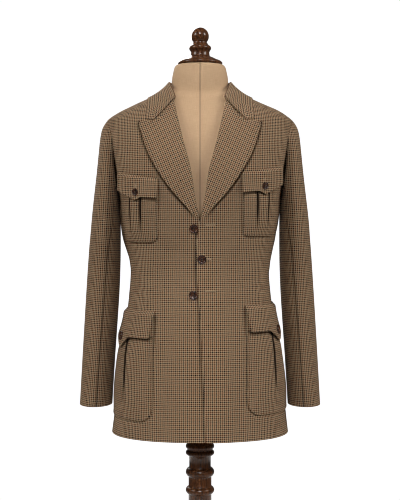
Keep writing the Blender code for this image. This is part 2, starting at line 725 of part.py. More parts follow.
def build_form():
    """The dress form: a closed skin through its sections."""
    bm = bmesh.new()
    bmesh.ops.create_grid(bm, x_segments=FORM_SIDES, y_segments=len(FORM) - 1, size=0.5)
    flat = np.array([vertex.co for vertex in bm.verts])
    z = np.interp(flat[:, 1] + 0.5, np.linspace(0, 1, len(FORM)), FORM_AT["z"])
    placed = trunk(2 * math.pi * flat[:, 0], z, FORM_AT)
    for vertex, point in zip(bm.verts, placed):
        vertex.co = point
    bmesh.ops.remove_doubles(bm, verts=bm.verts[:], dist=0.00001)
    bmesh.ops.holes_fill(bm, edges=bm.edges[:], sides=0)
    bmesh.ops.recalc_face_normals(bm, faces=bm.faces[:])
    mesh = bpy.data.meshes.new("dress_form")
    bm.to_mesh(mesh)
    bm.free()
    mesh.shade_smooth()
    add("dress_form", mesh, linen)


def build_stand():
    """The cap on the form's neck, the pole under the form, and the base."""
    neck_top = FORM[-1][0] + SEAM_GAP
    cap = [(0, BALL_Z + BALL_R)]
    cap += arc(0, BALL_Z, BALL_R, 74, -41, 8)
    cap += arc(*CAP_BEAD, 80, -50, 4)
    cap += [*CAP_SLOPE, (CAP_FOOT_R, neck_top), (0, neck_top)]
    turned("neck_cap", cap, wood, 20)
    form_foot = FORM[0][0] - SEAM_GAP
    pole_foot = BASE_H + SEAM_GAP
    pole = [(0, form_foot), (POLE_R, form_foot)]
    above = POLE_R
    for z, radius, reach, below in POLE_BEADS:
        if z + radius + BEAD_NECK < pole[-1][1]:
            pole += [(above, z + radius + BEAD_NECK)]
        pole += arc(reach - radius, z, radius, BEAD_TURN, -BEAD_TURN, 4)
        pole += [(below, z - radius - BEAD_NECK)]
        above = below
    pole += [(above, pole_foot), (0, pole_foot)]
    turned("stand_pole", pole, wood, 18)
    base = [(0, BASE_H), *BASE_SLOPE]
    base += arc(*BASE_EDGE, 75, -20, 6)
    base += [(BASE_FOOT_R, 0), (0, 0)]
    turned("stand_base", base, wood, 32)


for old in list(bpy.data.objects):
    bpy.data.objects.remove(old, do_unlink=True)
jacket = bpy.data.collections.new("tweed_jacket_on_dress_form")
bpy.context.scene.collection.children.link(jacket)
tweed = material("check_tweed", (0.16, 0.115, 0.072), 0.95)
horn = material("brown_horn", (0.11, 0.045, 0.018), 0.35)
linen = material("tan_linen", (0.50, 0.33, 0.19), 0.90)
wood = material("dark_turned_wood", (0.022, 0.010, 0.006), 0.25)

for side_name in SIDES:
    build_front(side_name)
    build_back(side_name)
    build_sleeve(side_name, "top")
    build_sleeve(side_name, "under")
    build_lapel(side_name)
    build_pocket("chest_pocket", side_name, CHEST, 4, 5)
    build_pocket("hip_pocket", side_name, HIP, 6, 7)
    build_flap("chest_flap", side_name, CHEST_FLAP, 10)
    build_flap("hip_flap", side_name, HIP_FLAP, 14)
build_collar()
build_buttons()
build_form()
build_stand()
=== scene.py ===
"""Finished surfaces of a check tweed jacket on a dress form, with its light and camera.

Metres, +Z up. The front faces -Y and the wearer's left is +X. Pieces of cloth are thin sheets bent on to
level sections of the trunk or on to rings of the sleeve, with their creases as troughs and ridges. One side
is worked out with its own x positive and mirrored for the other. Every sheet carries a map of its weave,
in metres across and along the cloth.
"""

import math

import bmesh
import bpy
import numpy as np
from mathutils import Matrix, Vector


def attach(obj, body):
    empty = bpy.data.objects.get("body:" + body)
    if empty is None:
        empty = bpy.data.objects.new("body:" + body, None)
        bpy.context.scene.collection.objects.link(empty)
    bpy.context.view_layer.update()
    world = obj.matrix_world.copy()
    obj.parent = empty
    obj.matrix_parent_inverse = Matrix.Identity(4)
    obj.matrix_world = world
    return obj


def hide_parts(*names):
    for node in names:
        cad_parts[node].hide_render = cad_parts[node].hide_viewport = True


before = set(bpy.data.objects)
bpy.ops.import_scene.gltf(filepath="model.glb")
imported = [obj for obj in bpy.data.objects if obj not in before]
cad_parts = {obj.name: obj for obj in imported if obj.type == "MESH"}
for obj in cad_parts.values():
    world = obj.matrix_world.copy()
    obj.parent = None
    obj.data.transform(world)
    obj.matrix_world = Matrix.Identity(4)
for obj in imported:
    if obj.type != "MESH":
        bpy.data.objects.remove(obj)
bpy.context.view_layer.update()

# Driving sizes
CLOTH = 0.002
SEAM_GAP = 0.00006
LAY_GAP = 0.0008
ARMHOLE_GAP = 0.0003
HEM_Z = 0.669
BREAK_Z = 1.150
NECK_Z = 1.459
NECK_HALF_WIDTH = 0.074
OVERLAP_LIFT = CLOTH + LAY_GAP
OVERLAP_FLAT = 0.036
OVERLAP_END = 0.075
OVERLAP_FADE_Z = (1.20, 1.30)
LEFT_RISE = 0.0135
SIDES = {"left": 1, "right": -1}

# Level sections of the trunk: sizes from the Z axis, and how square the section is
TRUNK_COLUMNS = ("z", "half_width", "front", "back", "square")
TRUNK = (
    (HEM_Z, 0.204, 0.150, 0.146, 2.30),
    (0.710, 0.199, 0.148, 0.147, 2.30),
    (0.790, 0.193, 0.144, 0.146, 2.30),
    (0.870, 0.182, 0.139, 0.141, 2.30),
    (0.930, 0.171, 0.133, 0.132, 2.32),
    (0.989, 0.164, 0.126, 0.118, 2.35),
    (1.029, 0.161, 0.122, 0.108, 2.40),
    (1.059, 0.163, 0.122, 0.105, 2.45),
    (1.087, 0.168, 0.124, 0.104, 2.50),
    (1.115, 0.174, 0.127, 0.106, 2.60),
    (1.143, 0.178, 0.131, 0.109, 2.70),
    (1.200, 0.184, 0.138, 0.117, 2.95),
    (1.263, 0.197, 0.140, 0.125, 3.00),
    (1.310, 0.207, 0.134, 0.126, 2.90),
    (1.360, 0.213, 0.118, 0.119, 2.60),
    (1.3865, 0.2150, 0.105, 0.1115, 2.42),
    (1.390, 0.212, 0.103, 0.110, 2.40),
    (1.400, 0.199, 0.097, 0.105, 2.30),
    (1.409, 0.185, 0.092, 0.100, 2.20),
    (1.423, 0.156, 0.083, 0.092, 2.10),
    (1.439, 0.120, 0.073, 0.082, 2.05),
    (NECK_Z, NECK_HALF_WIDTH, 0.060, 0.068, 2.00),
)

# Front edge and, above the break, roll line: distance from the centre towards the piece's own side
EDGE_COLUMNS = ("z", "left", "right")
FRONT_EDGE = (
    (HEM_Z, 0.0130, -0.0420),
    (0.794, 0.0079, -0.0360),
    (0.937, 0.0009, -0.0300),
    (1.012, -0.0053, -0.0240),
    (1.069, -0.0088, -0.0190),
    (1.106, -0.0066, -0.0140),
    (BREAK_Z, -0.0022, -0.0030),
    (1.1634, 0.0012, 0.0012),
    (1.2164, 0.0121, 0.0121),
    (1.263, 0.0190, 0.0190),
    (1.303, 0.0292, 0.0292),
    (1.345, 0.0402, 0.0402),
    (1.382, 0.0490, 0.0490),
    (1.4295, 0.0602, 0.0602),
    (NECK_Z, NECK_HALF_WIDTH, NECK_HALF_WIDTH),
)

# Side seam: how far behind the Z axis it runs
SEAM_COLUMNS = ("z", "y")
SIDE_SEAM = ((HEM_Z, 0.080), (0.790, 0.078), (0.930, 0.066), (1.029, 0.050), (1.120, 0.028), (1.200, 0.002))

# Sleeve rings, each between an outer and an inner point, with half its depth and its middle
SLEEVE_COLUMNS = ("x_out", "z_out", "x_in", "z_in", "half_depth", "y_mid")
SLEEVE = (
    (0.2120, 1.3900, 0.1845, 1.200, 0.0700, 0.002),
    (0.2195, 1.3815, 0.1854, 1.198, 0.0730, 0.003),
    (0.2270, 1.3675, 0.1858, 1.195, 0.0760, 0.004),
    (0.2315, 1.3480, 0.1860, 1.190, 0.0785, 0.005),
    (0.2355, 1.3150, 0.1861, 1.181, 0.0805, 0.007),
    (0.2400, 1.2750, 0.1862, 1.168, 0.0815, 0.009),
    (0.2465, 1.2180, 0.1862, 1.143, 0.0815, 0.011),
    (0.2530, 1.1600, 0.1862, 1.110, 0.0795, 0.013),
    (0.2590, 1.0900, 0.1865, 1.068, 0.0755, 0.014),
    (0.2650, 1.0000, 0.1885, 1.000, 0.0705, 0.013),
    (0.2690, 0.9300, 0.1925, 0.930, 0.0660, 0.010),
    (0.2735, 0.8400, 0.1980, 0.840, 0.0600, 0.002),
    (0.2785, 0.7320, 0.2038, 0.732, 0.0545, -0.008),
)

# The forearm seam: degrees round the sleeve from its outside, by the share of the way to the cuff
FOREARM_COLUMNS = ("along", "degrees")
FOREARM_SEAM = (
    (0.00, 130),
    (0.30, 130),
    (0.50, 128),
    (0.58, 121),
    (0.65, 112),
    (0.76, 106),
    (0.86, 103),
    (1.00, 98),
)
HIND_SEAM = (-112.0, -104.0)
DRAWN_RINGS = 5
SLEEVE_MEAN_R = 0.06
DEGREE_LENGTH = math.radians(1) * SLEEVE_MEAN_R
SLEEVE_SLANT = 0.055
SLEEVE_AXIS = (0.2268, 0.008, 1.0)
SLEEVE_OVAL = (0.0385, 0.068)

# Lapel: its outer edge, the gorge seam where it meets the collar, its roll and its belly
LAPEL_COLUMNS = ("z", "x")
LAPEL_EDGE = (
    (1.1600, 0.0075),
    (1.1876, 0.0308),
    (1.2231, 0.0619),
    (1.2609, 0.0885),
    (1.3014, 0.1115),
    (1.3595, 0.1315),
    (1.3764, 0.1350),
)
LAPEL_INSET = 0.0015
LAPEL_FOOT_Z = 1.1690
GORGE_TOP_Z = 1.4266
GORGE_DIP = 0.0265
GORGE_TURN = 0.437
GORGE_GAP = 0.0006
LAPEL_ROLL_R = 0.0022
LAPEL_BELLY = 0.0030
LAPEL_GRAIN = math.radians(22)

# Collar: its leaf edge and stand
LEAF_BACK_Z = 1.428
LEAF_SHOULDER_Z = 1.442
LEAF_X = 0.1195
LEAF_CORNER_Z = 1.3830
LEAF_DIP = 0.0225
LEAF_TURN = 0.545
LEAF_HOLLOW = 2.2
STAND_BACK = 0.020
STAND_SIDE = 0.0155
STAND_FRONT = 0.005
FOLD_WIDTH = 0.0055
COLLAR_GAP = 0.0009
SHOULDER_AT = 0.5
EDGE_EASE = 1.5

# Lines across the collar's stand and over its fold, as shares of the stand's height and the fold's width
STAND_COLUMNS = ("c", "rise", "inside")
STAND = (
    (0.00, 0.00, 0.30),
    (0.12, 0.45, 0.65),
    (0.24, 0.88, 1.00),
    (0.31, 1.00, 0.50),
    (0.38, 0.90, 0.00),
)

# Pockets and flaps: measured round the trunk from the centre front, and up from the floor
CHEST = dict(middle=0.1430, half_width=0.0475, bottom=1.108, top=1.2455, slope=0.157, corner=0.013,
             pleat_at=0.1420, pleat_shift=0.0050, pleat=0.0142)
HIP = dict(middle=0.2045, half_width=0.0965, bottom=0.711, top=0.9395, slope=0.0, corner=0.030,
           pleat_at=0.2045, pleat_shift=0.0, pleat=0.0225)
CHEST_FLAP = dict(middle=0.1430, top_half=0.0495, foot_half=0.0495, top=1.2565, slope=0.157)
HIP_FLAP = dict(middle=0.2045, top_half=0.103, foot_half=0.093, top=0.9535, slope=0.0)

# A flap's foot, from its inner to its outer end: height above the floor before the left side's rise
FLAP_COLUMNS = ("across", "z")
CHEST_FOOT = (
    (-1.00, 1.2050),
    (-0.72, 1.2070),
    (-0.30, 1.2082),
    (-0.14, 1.2055),
    (0.01, 1.2020),
    (0.24, 1.2078),
    (0.70, 1.2190),
    (1.00, 1.2262),
)
HIP_FOOT = (
    (-1.00, 0.8960),
    (-0.96, 0.8930),
    (-0.45, 0.8928),
    (-0.22, 0.8820),
    (0.00, 0.8690),
    (0.22, 0.8820),
    (0.45, 0.8928),
    (0.96, 0.8930),
    (1.00, 0.8960),
)
PLEAT_LIFT = 0.0015
FLAP_EASE = 0.0012
FLAP_LIFT = LAY_GAP + CLOTH + PLEAT_LIFT + LAY_GAP + FLAP_EASE
FLAP_SEAM = 0.16
GROOVE_DEPTH = 0.0045
GROOVE_WIDTH = 0.0016
POCKET_PUFF = 0.0036
FLAP_CURL = 0.0044
FLAP_END_STAND = 0.0010
TURNED_EDGE = 0.0030
EDGE_STAND = 0.0034
PLEAT_EDGE = (0.0010, 0.0002)
PLEAT_FROM = (0.04, 0.3)
GROOVE_FROM = (0.06, 0.55)
PUFF_FROM = (0, 0.22)
PUFF_TO = (0.58, 0.82)

# Troughs pressed in a front by what lies on it, and the valley low in the armhole, at the sleeve's front
EDGE_TROUGH = 0.0052
EDGE_TROUGH_HALF = 0.0034
OVERLAP_TROUGH = 0.0034
POCKET_TROUGH = 0.0024
POCKET_TROUGH_HALF = 0.0030
ARMHOLE_DIP = 0.0030
ARMHOLE_SOFT = 0.0090
LOW_HOLE = (0.30, 0.80)
TROUGH_START = 0.03
TROUGH_END = (0.002, 0.004)
GROOVE_SPREAD = 1.7
SLEEVE_FRONT_FROM = (55, 95)
SLEEVE_FRONT_TO = (150, 178)

# Painted shade and shadow: how far the cloth's colour is darkened in a pleat's groove, under an edge, along a
# seam and in the armhole
PLEAT_SHADE = 1.45
PLEAT_SHADE_HALF = 0.0024
FLAP_SHADE = 0.80
FLAP_SHADE_HALF = 0.0026
EDGE_SHADE = 0.70
SEAM_SHADE = 0.75
SEAM_SHADE_HALF = 0.0018
ARMHOLE_SHADE = 0.90
ARMHOLE_SHADE_HALF = 0.0042

# Buttons: radius, and the height and distance of each from the floor and the centre line
BUTTON_SHANK = 0.0010
FRONT_BUTTON_R = 0.0100
CHEST_BUTTON_R = 0.0080
FRONT_BUTTONS = {
    "upper": ("right", 0.0142, 1.1377),
    "middle": ("left", 0.0042, 1.0700),
    "lower": ("right", 0.0146, 0.9900),
}
CHEST_BUTTON_Z = 1.2200
CHEST_BUTTON_IN = 0.0005
HIP_BUTTON_Z = 0.8920
BUTTON_COLUMNS = ("r", "height")
BUTTON_FACE = ((0, 0.60), (0.45, 0.58), (0.66, 0.70), (0.80, 0.98), (0.90, 1.00), (0.97, 0.80), (1.0, 0.50))
BUTTON_THICKNESS = 0.38
HOLE_AT = 0.27
HOLE_R = 0.115
HOLE_TURNS = (45, 135, 225, 315)
FLAP_BUTTONS = {
    "chest": (CHEST_FLAP["middle"] - CHEST_BUTTON_IN, CHEST_BUTTON_Z, CHEST_BUTTON_R),
    "hip": (HIP_FLAP["middle"], HIP_BUTTON_Z, FRONT_BUTTON_R),
}

# Dress form: its grid, the height between its coarse and fine rows, its closing rings, and level sections
FORM_COLUMNS = 145
FORM_ROWS = (90, 80)
FORM_FINE_Z = (1.40, 1.403)
FORM_RINGS = (0.0, 0.25, 0.5, 0.75, 0.93)
FORM_MIDDLE = (0, 0, 1.15)
FORM = (
    (0.780, 0.138, 0.096, 0.098, 2.20),
    (0.788, 0.150, 0.106, 0.110, 2.20),
    (0.870, 0.158, 0.113, 0.118, 2.20),
    (0.950, 0.150, 0.108, 0.108, 2.20),
    (1.030, 0.142, 0.102, 0.090, 2.20),
    (1.100, 0.149, 0.108, 0.090, 2.30),
    (1.200, 0.163, 0.122, 0.101, 2.50),
    (1.270, 0.178, 0.125, 0.109, 2.60),
    (1.330, 0.189, 0.114, 0.109, 2.50),
    (1.370, 0.192, 0.099, 0.102, 2.40),
    (1.3875, 0.189, 0.090, 0.096, 2.30),
    (1.404, 0.179, 0.082, 0.090, 2.20),
    (1.4202, 0.1555, 0.074, 0.083, 2.10),
    (1.4362, 0.1195, 0.066, 0.074, 2.05),
    (1.446, 0.0930, 0.061, 0.066, 2.00),
    (1.453, 0.0760, 0.0595, 0.063, 2.00),
    (1.464, 0.0668, 0.0590, 0.0615, 2.00),
    (1.488, 0.0648, 0.0580, 0.0605, 2.00),
    (1.502, 0.0620, 0.0560, 0.0580, 2.00),
    (1.511, 0.0598, 0.0540, 0.0560, 2.00),
    (1.5165, 0.0560, 0.0510, 0.0530, 2.00),
    (1.5185, 0.0500, 0.0460, 0.0480, 2.00),
)

# Turned wood: the cap's ball and slope, the pole's beads with the pole's radius below each, and the base
BALL_R = 0.0206
BALL_Z = 1.5853
CAP_BEAD = (0.0195, 1.5576, 0.0064)
CAP_SLOPE = (
    (0.0218, 1.5480),
    (0.0228, 1.5394),
    (0.0310, 1.5352),
    (0.0400, 1.5306),
    (0.0490, 1.5268),
    (0.0524, 1.5232),
)
CAP_FOOT_R = 0.0514
POLE_R = 0.0250
# z, radius, reach, pole's radius below
POLE_BEADS = (
    (0.6310, 0.0070, 0.0330, 0.0285),
    (0.6160, 0.0060, 0.0330, 0.0250),
    (0.5710, 0.0110, 0.0330, 0.0265),
    (0.5290, 0.0090, 0.0330, 0.0265),
    (0.0960, 0.0090, 0.0370, 0.0310),
)
BEAD_TURN = 65
BEAD_NECK = 0.0010
BASE_R = 0.190
BASE_H = 0.075
BASE_SLOPE = (
    (0.046, BASE_H),
    (0.050, 0.066),
    (0.060, 0.058),
    (0.090, 0.049),
    (0.140, 0.041),
    (0.172, 0.035),
)
BASE_EDGE = (BASE_R - 0.016, 0.016, 0.016)
BASE_FOOT_R = BASE_R - 0.006

# Creases of the trunk, from one end to the other, round from the centre front and up from the floor.
# A trough has a positive depth and a ridge a negative one.
CREASE_COLUMNS = ("g0", "z0", "g1", "z1", "width", "depth")
CREASES = {
    "left": (
        (0.012, 1.146, 0.060, 1.170, 0.0090, 0.0014),
        (0.240, 1.210, 0.240, 1.130, 0.0300, -0.0024),
        (0.020, 1.080, 0.110, 1.118, 0.0130, -0.0012),
        (0.022, 1.062, 0.120, 1.066, 0.0120, 0.0011),
        (0.060, 1.035, 0.150, 1.022, 0.0100, -0.0010),
        (0.098, 0.980, 0.150, 0.966, 0.0065, 0.0016),
        (0.120, 1.014, 0.205, 1.000, 0.0090, 0.0020),
        (0.165, 1.045, 0.235, 1.030, 0.0080, 0.0018),
        (0.050, 0.900, 0.066, 0.690, 0.0280, -0.0016),
        (0.092, 0.880, 0.104, 0.680, 0.0240, 0.0013),
        (0.150, 1.330, 0.170, 1.270, 0.0110, 0.0016),
        (0.105, 1.395, 0.135, 1.330, 0.0170, -0.0012),
        (0.300, 1.320, 0.318, 1.190, 0.0140, 0.0026),
        (0.338, 1.300, 0.345, 1.150, 0.0170, -0.0018),
        (0.280, 1.030, 0.365, 1.014, 0.0090, 0.0018),
        (0.300, 1.058, 0.380, 1.048, 0.0080, 0.0014),
        (0.330, 0.985, 0.345, 0.690, 0.0260, 0.0022),
        (0.395, 0.940, 0.402, 0.680, 0.0240, -0.0018),
    ),
    "right": (
        (0.010, 1.143, 0.052, 1.168, 0.0080, 0.0012),
        (0.240, 1.200, 0.240, 1.070, 0.0300, -0.0050),
        (0.016, 1.076, 0.095, 1.108, 0.0110, 0.0015),
        (0.030, 1.094, 0.115, 1.140, 0.0140, -0.0013),
        (0.030, 1.048, 0.125, 1.038, 0.0110, 0.0012),
        (0.118, 0.955, 0.150, 0.998, 0.0075, 0.0022),
        (0.108, 0.992, 0.185, 1.006, 0.0090, 0.0018),
        (0.160, 1.036, 0.230, 1.050, 0.0085, 0.0019),
        (0.046, 0.905, 0.052, 0.685, 0.0300, 0.0014),
        (0.084, 0.890, 0.098, 0.700, 0.0220, -0.0014),
        (0.152, 1.340, 0.172, 1.275, 0.0120, 0.0019),
        (0.110, 1.390, 0.140, 1.320, 0.0180, -0.0012),
        (0.302, 1.310, 0.322, 1.170, 0.0130, 0.0028),
        (0.342, 1.290, 0.348, 1.140, 0.0160, -0.0016),
        (0.270, 1.022, 0.352, 1.034, 0.0090, 0.0020),
        (0.310, 1.066, 0.390, 1.054, 0.0080, 0.0012),
        (0.322, 0.970, 0.336, 0.700, 0.0240, 0.0018),
        (0.388, 0.950, 0.396, 0.690, 0.0260, -0.0020),
    ),
}

# Creases of a sleeve, from one end to the other: degrees round from the outside to the front, and height
SLEEVE_CREASES = {
    "left": (
        (60, 1.105, 125, 1.065, 0.0100, 0.0020),
        (52, 1.060, 128, 1.030, 0.0110, -0.0014),
        (70, 1.018, 132, 0.998, 0.0090, 0.0017),
        (-10, 1.300, 8, 1.120, 0.0170, -0.0012),
        (30, 1.310, 46, 1.190, 0.0130, 0.0018),
        (74, 0.930, 98, 0.800, 0.0150, 0.0012),
        (-40, 1.000, -80, 1.070, 0.0120, 0.0016),
        (-60, 1.300, -74, 1.180, 0.0150, 0.0018),
    ),
    "right": (
        (58, 1.090, 122, 1.060, 0.0110, 0.0019),
        (66, 1.046, 130, 1.012, 0.0095, 0.0018),
        (48, 1.010, 120, 0.988, 0.0110, -0.0013),
        (-6, 1.290, 10, 1.100, 0.0180, 0.0011),
        (28, 1.320, 44, 1.200, 0.0120, 0.0020),
        (70, 0.910, 96, 0.790, 0.0140, 0.0013),
        (-36, 1.010, -84, 1.060, 0.0110, 0.0017),
        (-58, 1.310, -72, 1.190, 0.0160, 0.0016),
    ),
}
SEAM_DIP = 0.0011
SEAM_SOFT = 0.0030

# A crease's bow as a share of its length, its width at one end and its growth to the other, and its fading
CREASE_BOW = 0.06
CREASE_WIDTH = (0.75, 0.5)
CREASE_FADE = 0.8
SLEEVE_CREASES_FROM = (0.05, 0.16)

# The slow unevenness of the trunk's cloth: its height, and its waves round and up
SLOW_HEIGHT = 0.0005
SLOW_WAVES = (61, 23)
SLOW_SHIFTS = (1.3, 0.7)

# Grids of the sheets: columns, rows, and how far the rows crowd towards both ends
FRONT_GRID = (150, 205, 0.15)
BACK_GRID = (52, 150, 0.15)
SLEEVE_GRIDS = {"top": (70, 160, 0.1), "under": (44, 160, 0.1)}
LAPEL_GRID = (58, 110, 0.2)
LAPEL_ROLL_COLUMNS = 9
COLLAR_GRID = (181, 58, 0.1)
FLAP_ROWS = (34, 0.3)
POCKET_CROWD = 0.2
GROOVE_REACH = 0.004
GROOVE_COLUMNS = 21
BORDER_LINES = 5
SOFT_EDGE = 0.0008
SHARP_TURN = math.radians(60)

# Small steps for normals, across and up, and the distance at which points are one
SMALL_STEPS = (1e-3, 1e-4)
COLLAR_STEPS = (2e-3, 1e-2)
SAME_POINT = 1e-7

# Angles round the trunk at which the length up the front's and the back's cloth is measured
FRONT_WARP_ANGLE = 0.6
BACK_WARP_ANGLE = 2.6

# The check: sizes of its repeat across and along the cloth, in stripes of four threads
WARP_REPEAT = 0.00872
WEFT_REPEAT = 0.00840
THREADS = 16
YARN_SWAY = 0.0004
TAN_YARN = (0.450, 0.312, 0.184, 1)
DARK_YARN = (0.010, 0.010, 0.013, 1)
RUST_YARN = (0.115, 0.040, 0.019, 1)
FLECK_YARN = (0.50, 0.40, 0.27, 1)
# Colour of the painted shade mixed into the cloth where shade falls in grooves, under edges, along seams and
# in the armhole
PAINTED_SHADE = (0.022, 0.014, 0.009, 1)

# Other finishes
LINEN_THREAD = 0.00055
LINEN_DEEP = (0.50, 0.315, 0.172, 1)
LINEN_PALE = (0.71, 0.490, 0.297, 1)
SEAM_DARK = (0.030, 0.018, 0.012, 1)
FORM_SEAM_HALF = 0.0008
FORM_SEAM_DIP = 0.0007
FORM_SEAM_SOFT = 0.0012
HORN_DARK = (0.009, 0.004, 0.003, 1)
HORN_RED = (0.050, 0.016, 0.007, 1)
HORN_PALE = (0.150, 0.058, 0.022, 1)
WOOD_DARK = (0.034, 0.012, 0.004, 1)
WOOD_RED = (0.150, 0.052, 0.016, 1)
BROWN_THREAD = (0.075, 0.042, 0.022, 1)
TAN_THREAD = (0.40, 0.29, 0.18, 1)
FLOOR_COLOUR = (0.86, 0.86, 0.85, 1)

# Sewing: a button's grid, back and thread, the worked buttonholes, and the rows of stitches
BUTTON_SIDES = 64
BUTTON_UNDER = ((1.0, 1.9), (0.97, 1.15), (0.80, 1.0), (0.35, 1.0), (0.35, 0.0), (0.0, 0.0))
HOLE_SINK = 0.42
THREAD_R = 0.00042
THREAD_SIDES = 6
FRONT_HOLES = ((0.0220, 1.1470), (0.0120, 1.0705), (0.0230, 0.9985))
FRONT_HOLE_LENGTH = 0.023
FLAP_HOLE_LENGTH = 0.017
FLAP_HOLE_RISE = 0.95
HOLE_HALF = 0.0011
HOLE_CORD_R = 0.0007
HOLE_POINTS = 44
STITCH_INSET = 0.0050
STITCH_PITCH = 0.0046
STITCH_LENGTH = 0.0027
STITCH_R = 0.00022

# Studio: floor, lights and camera
FLOOR_Z = -0.0005
FLOOR_R = 1.7
AMBIENT = 0.08
BACKDROP = 1.02
# Name, place, aim, width, height, spread in degrees, watts and colour
LIGHTS = (
    ("front_strip", (0.0, -2.2, 2.65), (0, 0, 1.1), 0.35, 2.2, 20, 1.75, (0.98, 1.0, 1.05)),
    ("side_right", (2.8, -1.3, 2.9), (0, 0, 1.1), 1.2, 1.2, 180, 52, (1.0, 0.975, 0.945)),
    ("side_left", (-2.8, -1.3, 2.9), (0, 0, 1.1), 1.2, 1.2, 180, 48, (1.0, 0.975, 0.945)),
    ("back", (-1.0, 2.9, 2.6), (0, 0, 1.1), 1.8, 1.8, 180, 60, (1.0, 0.99, 0.98)),
)
PIXEL_WIDTH = 1.0
CAMERA_AT = (0, -2.4, 1.148)
FIELD = math.radians(27.3)
CAMERA_SHIFT = -0.052


def named(columns, rows):
    """A table's columns as arrays, by name."""
    return {name: np.array(values, float) for name, values in zip(columns, zip(*rows))}


def through(xs, ys, x):
    """Values at x of a smooth curve through the points (xs, ys) that doesn't overshoot them.

    Each stretch is a cubic whose end slopes are the harmonic means of the slopes on both sides.
    """
    steps = np.diff(xs)
    slopes = np.diff(ys) / steps
    before, after = slopes[:-1], slopes[1:]
    level = before * after <= 0
    mean = 2 * before * after / np.where(level, 1, before + after)
    ends = np.concatenate([slopes[:1], np.where(level, 0, mean), slopes[-1:]])
    i = np.clip(np.searchsorted(xs, x, side="right") - 1, 0, len(steps) - 1)
    t = (x - xs[i]) / steps[i]
    rise = ys[i + 1] - ys[i]
    start, end = ends[i] * steps[i], ends[i + 1] * steps[i]
    return ys[i] + t * start + t**2 * (3 * rise - 2 * start - end) + t**3 * (start + end - 2 * rise)


def step(a, b, x):
    """0 below a, 1 above b, and a smooth rise between them."""
    t = np.clip((x - a) / (b - a), 0, 1)
    return t * t * (3 - 2 * t)


def hump(x, width):
    """A bell of height 1 and this half width."""
    return np.exp(-((x / width) ** 2))


TRUNK_AT = named(TRUNK_COLUMNS, TRUNK)
FORM_AT = named(TRUNK_COLUMNS, FORM)
EDGE_AT = named(EDGE_COLUMNS, FRONT_EDGE)
SEAM_AT = named(SEAM_COLUMNS, SIDE_SEAM)
SLEEVE_AT = named(SLEEVE_COLUMNS, SLEEVE)
FOREARM_AT = named(FOREARM_COLUMNS, FOREARM_SEAM)
LAPEL_AT = named(LAPEL_COLUMNS, LAPEL_EDGE)
STAND_AT = named(STAND_COLUMNS, STAND)
BUTTON_AT = named(BUTTON_COLUMNS, BUTTON_FACE)
CHEST_FLAP["foot"] = named(FLAP_COLUMNS, CHEST_FOOT)
HIP_FLAP["foot"] = named(FLAP_COLUMNS, HIP_FOOT)
CREASES_AT = {side: named(CREASE_COLUMNS, rows) for side, rows in CREASES.items()}
SLEEVE_CREASES_AT = {side: named(CREASE_COLUMNS, rows) for side, rows in SLEEVE_CREASES.items()}
for sleeve_table in SLEEVE_CREASES_AT.values():
    for crease_end in ("g0", "g1"):
        sleeve_table[crease_end] = sleeve_table[crease_end] * DEGREE_LENGTH
FOLD_END = STAND_AT["c"][-1]
ARMPIT_Z = SLEEVE_AT["z_in"][0]
TIP_Z = SLEEVE_AT["z_out"][0]


def section(z, table=TRUNK_AT):
    """Half width, front, back and squareness of the level section at z."""
    return [through(table["z"], table[name], z) for name in TRUNK_COLUMNS[1:]]


def trunk(angle, z, table=TRUNK_AT):
    """The point at a height, and at an angle round Z from the centre front towards the left side.

    A section is a curve |x / half_width|^n + |y / depth|^n = 1.
    """
    half_width, front, back, n = section(z, table)
    s, c = np.sin(angle), np.cos(angle)
    depth = np.where(c > 0, front, back)
    r = ((np.abs(s) / half_width) ** n + (np.abs(c) / depth) ** n) ** (-1 / n)
    return np.stack([r * s, -r * c, z + 0 * angle], axis=-1)


def unit(v):
    """Vectors of length 1."""
    return v / np.maximum(np.linalg.norm(v, axis=-1, keepdims=True), 1e-12)


def normal_of(surface, a, b, da, db):
    """Unit normals of a surface at (a, b), from the differences across it both ways."""
    along = surface(a + da, b) - surface(a - da, b)
    up = surface(a, b + db) - surface(a, b - db)
    return unit(np.cross(along, up))


def angle_at_x(x, z):
    """Angle of the point on the front that lies at x."""
    half_width, front, _, n = section(z)
    y = front * np.maximum(1 - np.abs(x / half_width) ** n, 0) ** (1 / n)
    return np.arctan2(x, y)


def angle_at_y(y, z):
    """Angle of the point on the left side that lies at y."""
    half_width, front, back, n = section(z)
    depth = np.where(y < 0, front, back)
    x = half_width * np.maximum(1 - np.abs(y / depth) ** n, 0) ** (1 / n)
    return np.arctan2(x, -y)


# Lengths round the trunk from the centre front, and the angles they end at, at even heights
ANGLES = np.linspace(0, math.pi, 361)
HEIGHTS = np.linspace(HEM_Z, NECK_Z, 320)
GIRTHS = np.linspace(0, 0.56, 561)


def girth_table():
    """Lengths of the level sections from the centre front to each angle, one row for each height."""
    lines = trunk(ANGLES[None, :], HEIGHTS[:, None])
    pieces = np.linalg.norm(np.diff(lines, axis=1), axis=2)
    return np.concatenate([np.zeros((len(lines), 1)), np.cumsum(pieces, axis=1)], axis=1)


GIRTH_TABLE = girth_table()
ANGLE_TABLE = np.array([np.interp(GIRTHS, row, ANGLES) for row in GIRTH_TABLE])


def look_up(table, across, z, x):
    """Values of a table at (z, x) by two-way linear interpolation between its even heights and columns."""
    row = np.clip((z - HEIGHTS[0]) / (HEIGHTS[1] - HEIGHTS[0]), 0, len(HEIGHTS) - 1.001)
    column = np.clip((x - across[0]) / (across[1] - across[0]), 0, len(across) - 1.001)
    i, j = row.astype(int), column.astype(int)
    a, b = row - i, column - j
    low = table[i, j] * (1 - b) + table[i, j + 1] * b
    high = table[i + 1, j] * (1 - b) + table[i + 1, j + 1] * b
    return low * (1 - a) + high * a


def girth_at(angle, z):
    """Length round the trunk from the centre front, negative past it."""
    return np.sign(angle) * look_up(GIRTH_TABLE, ANGLES, z, np.abs(angle))


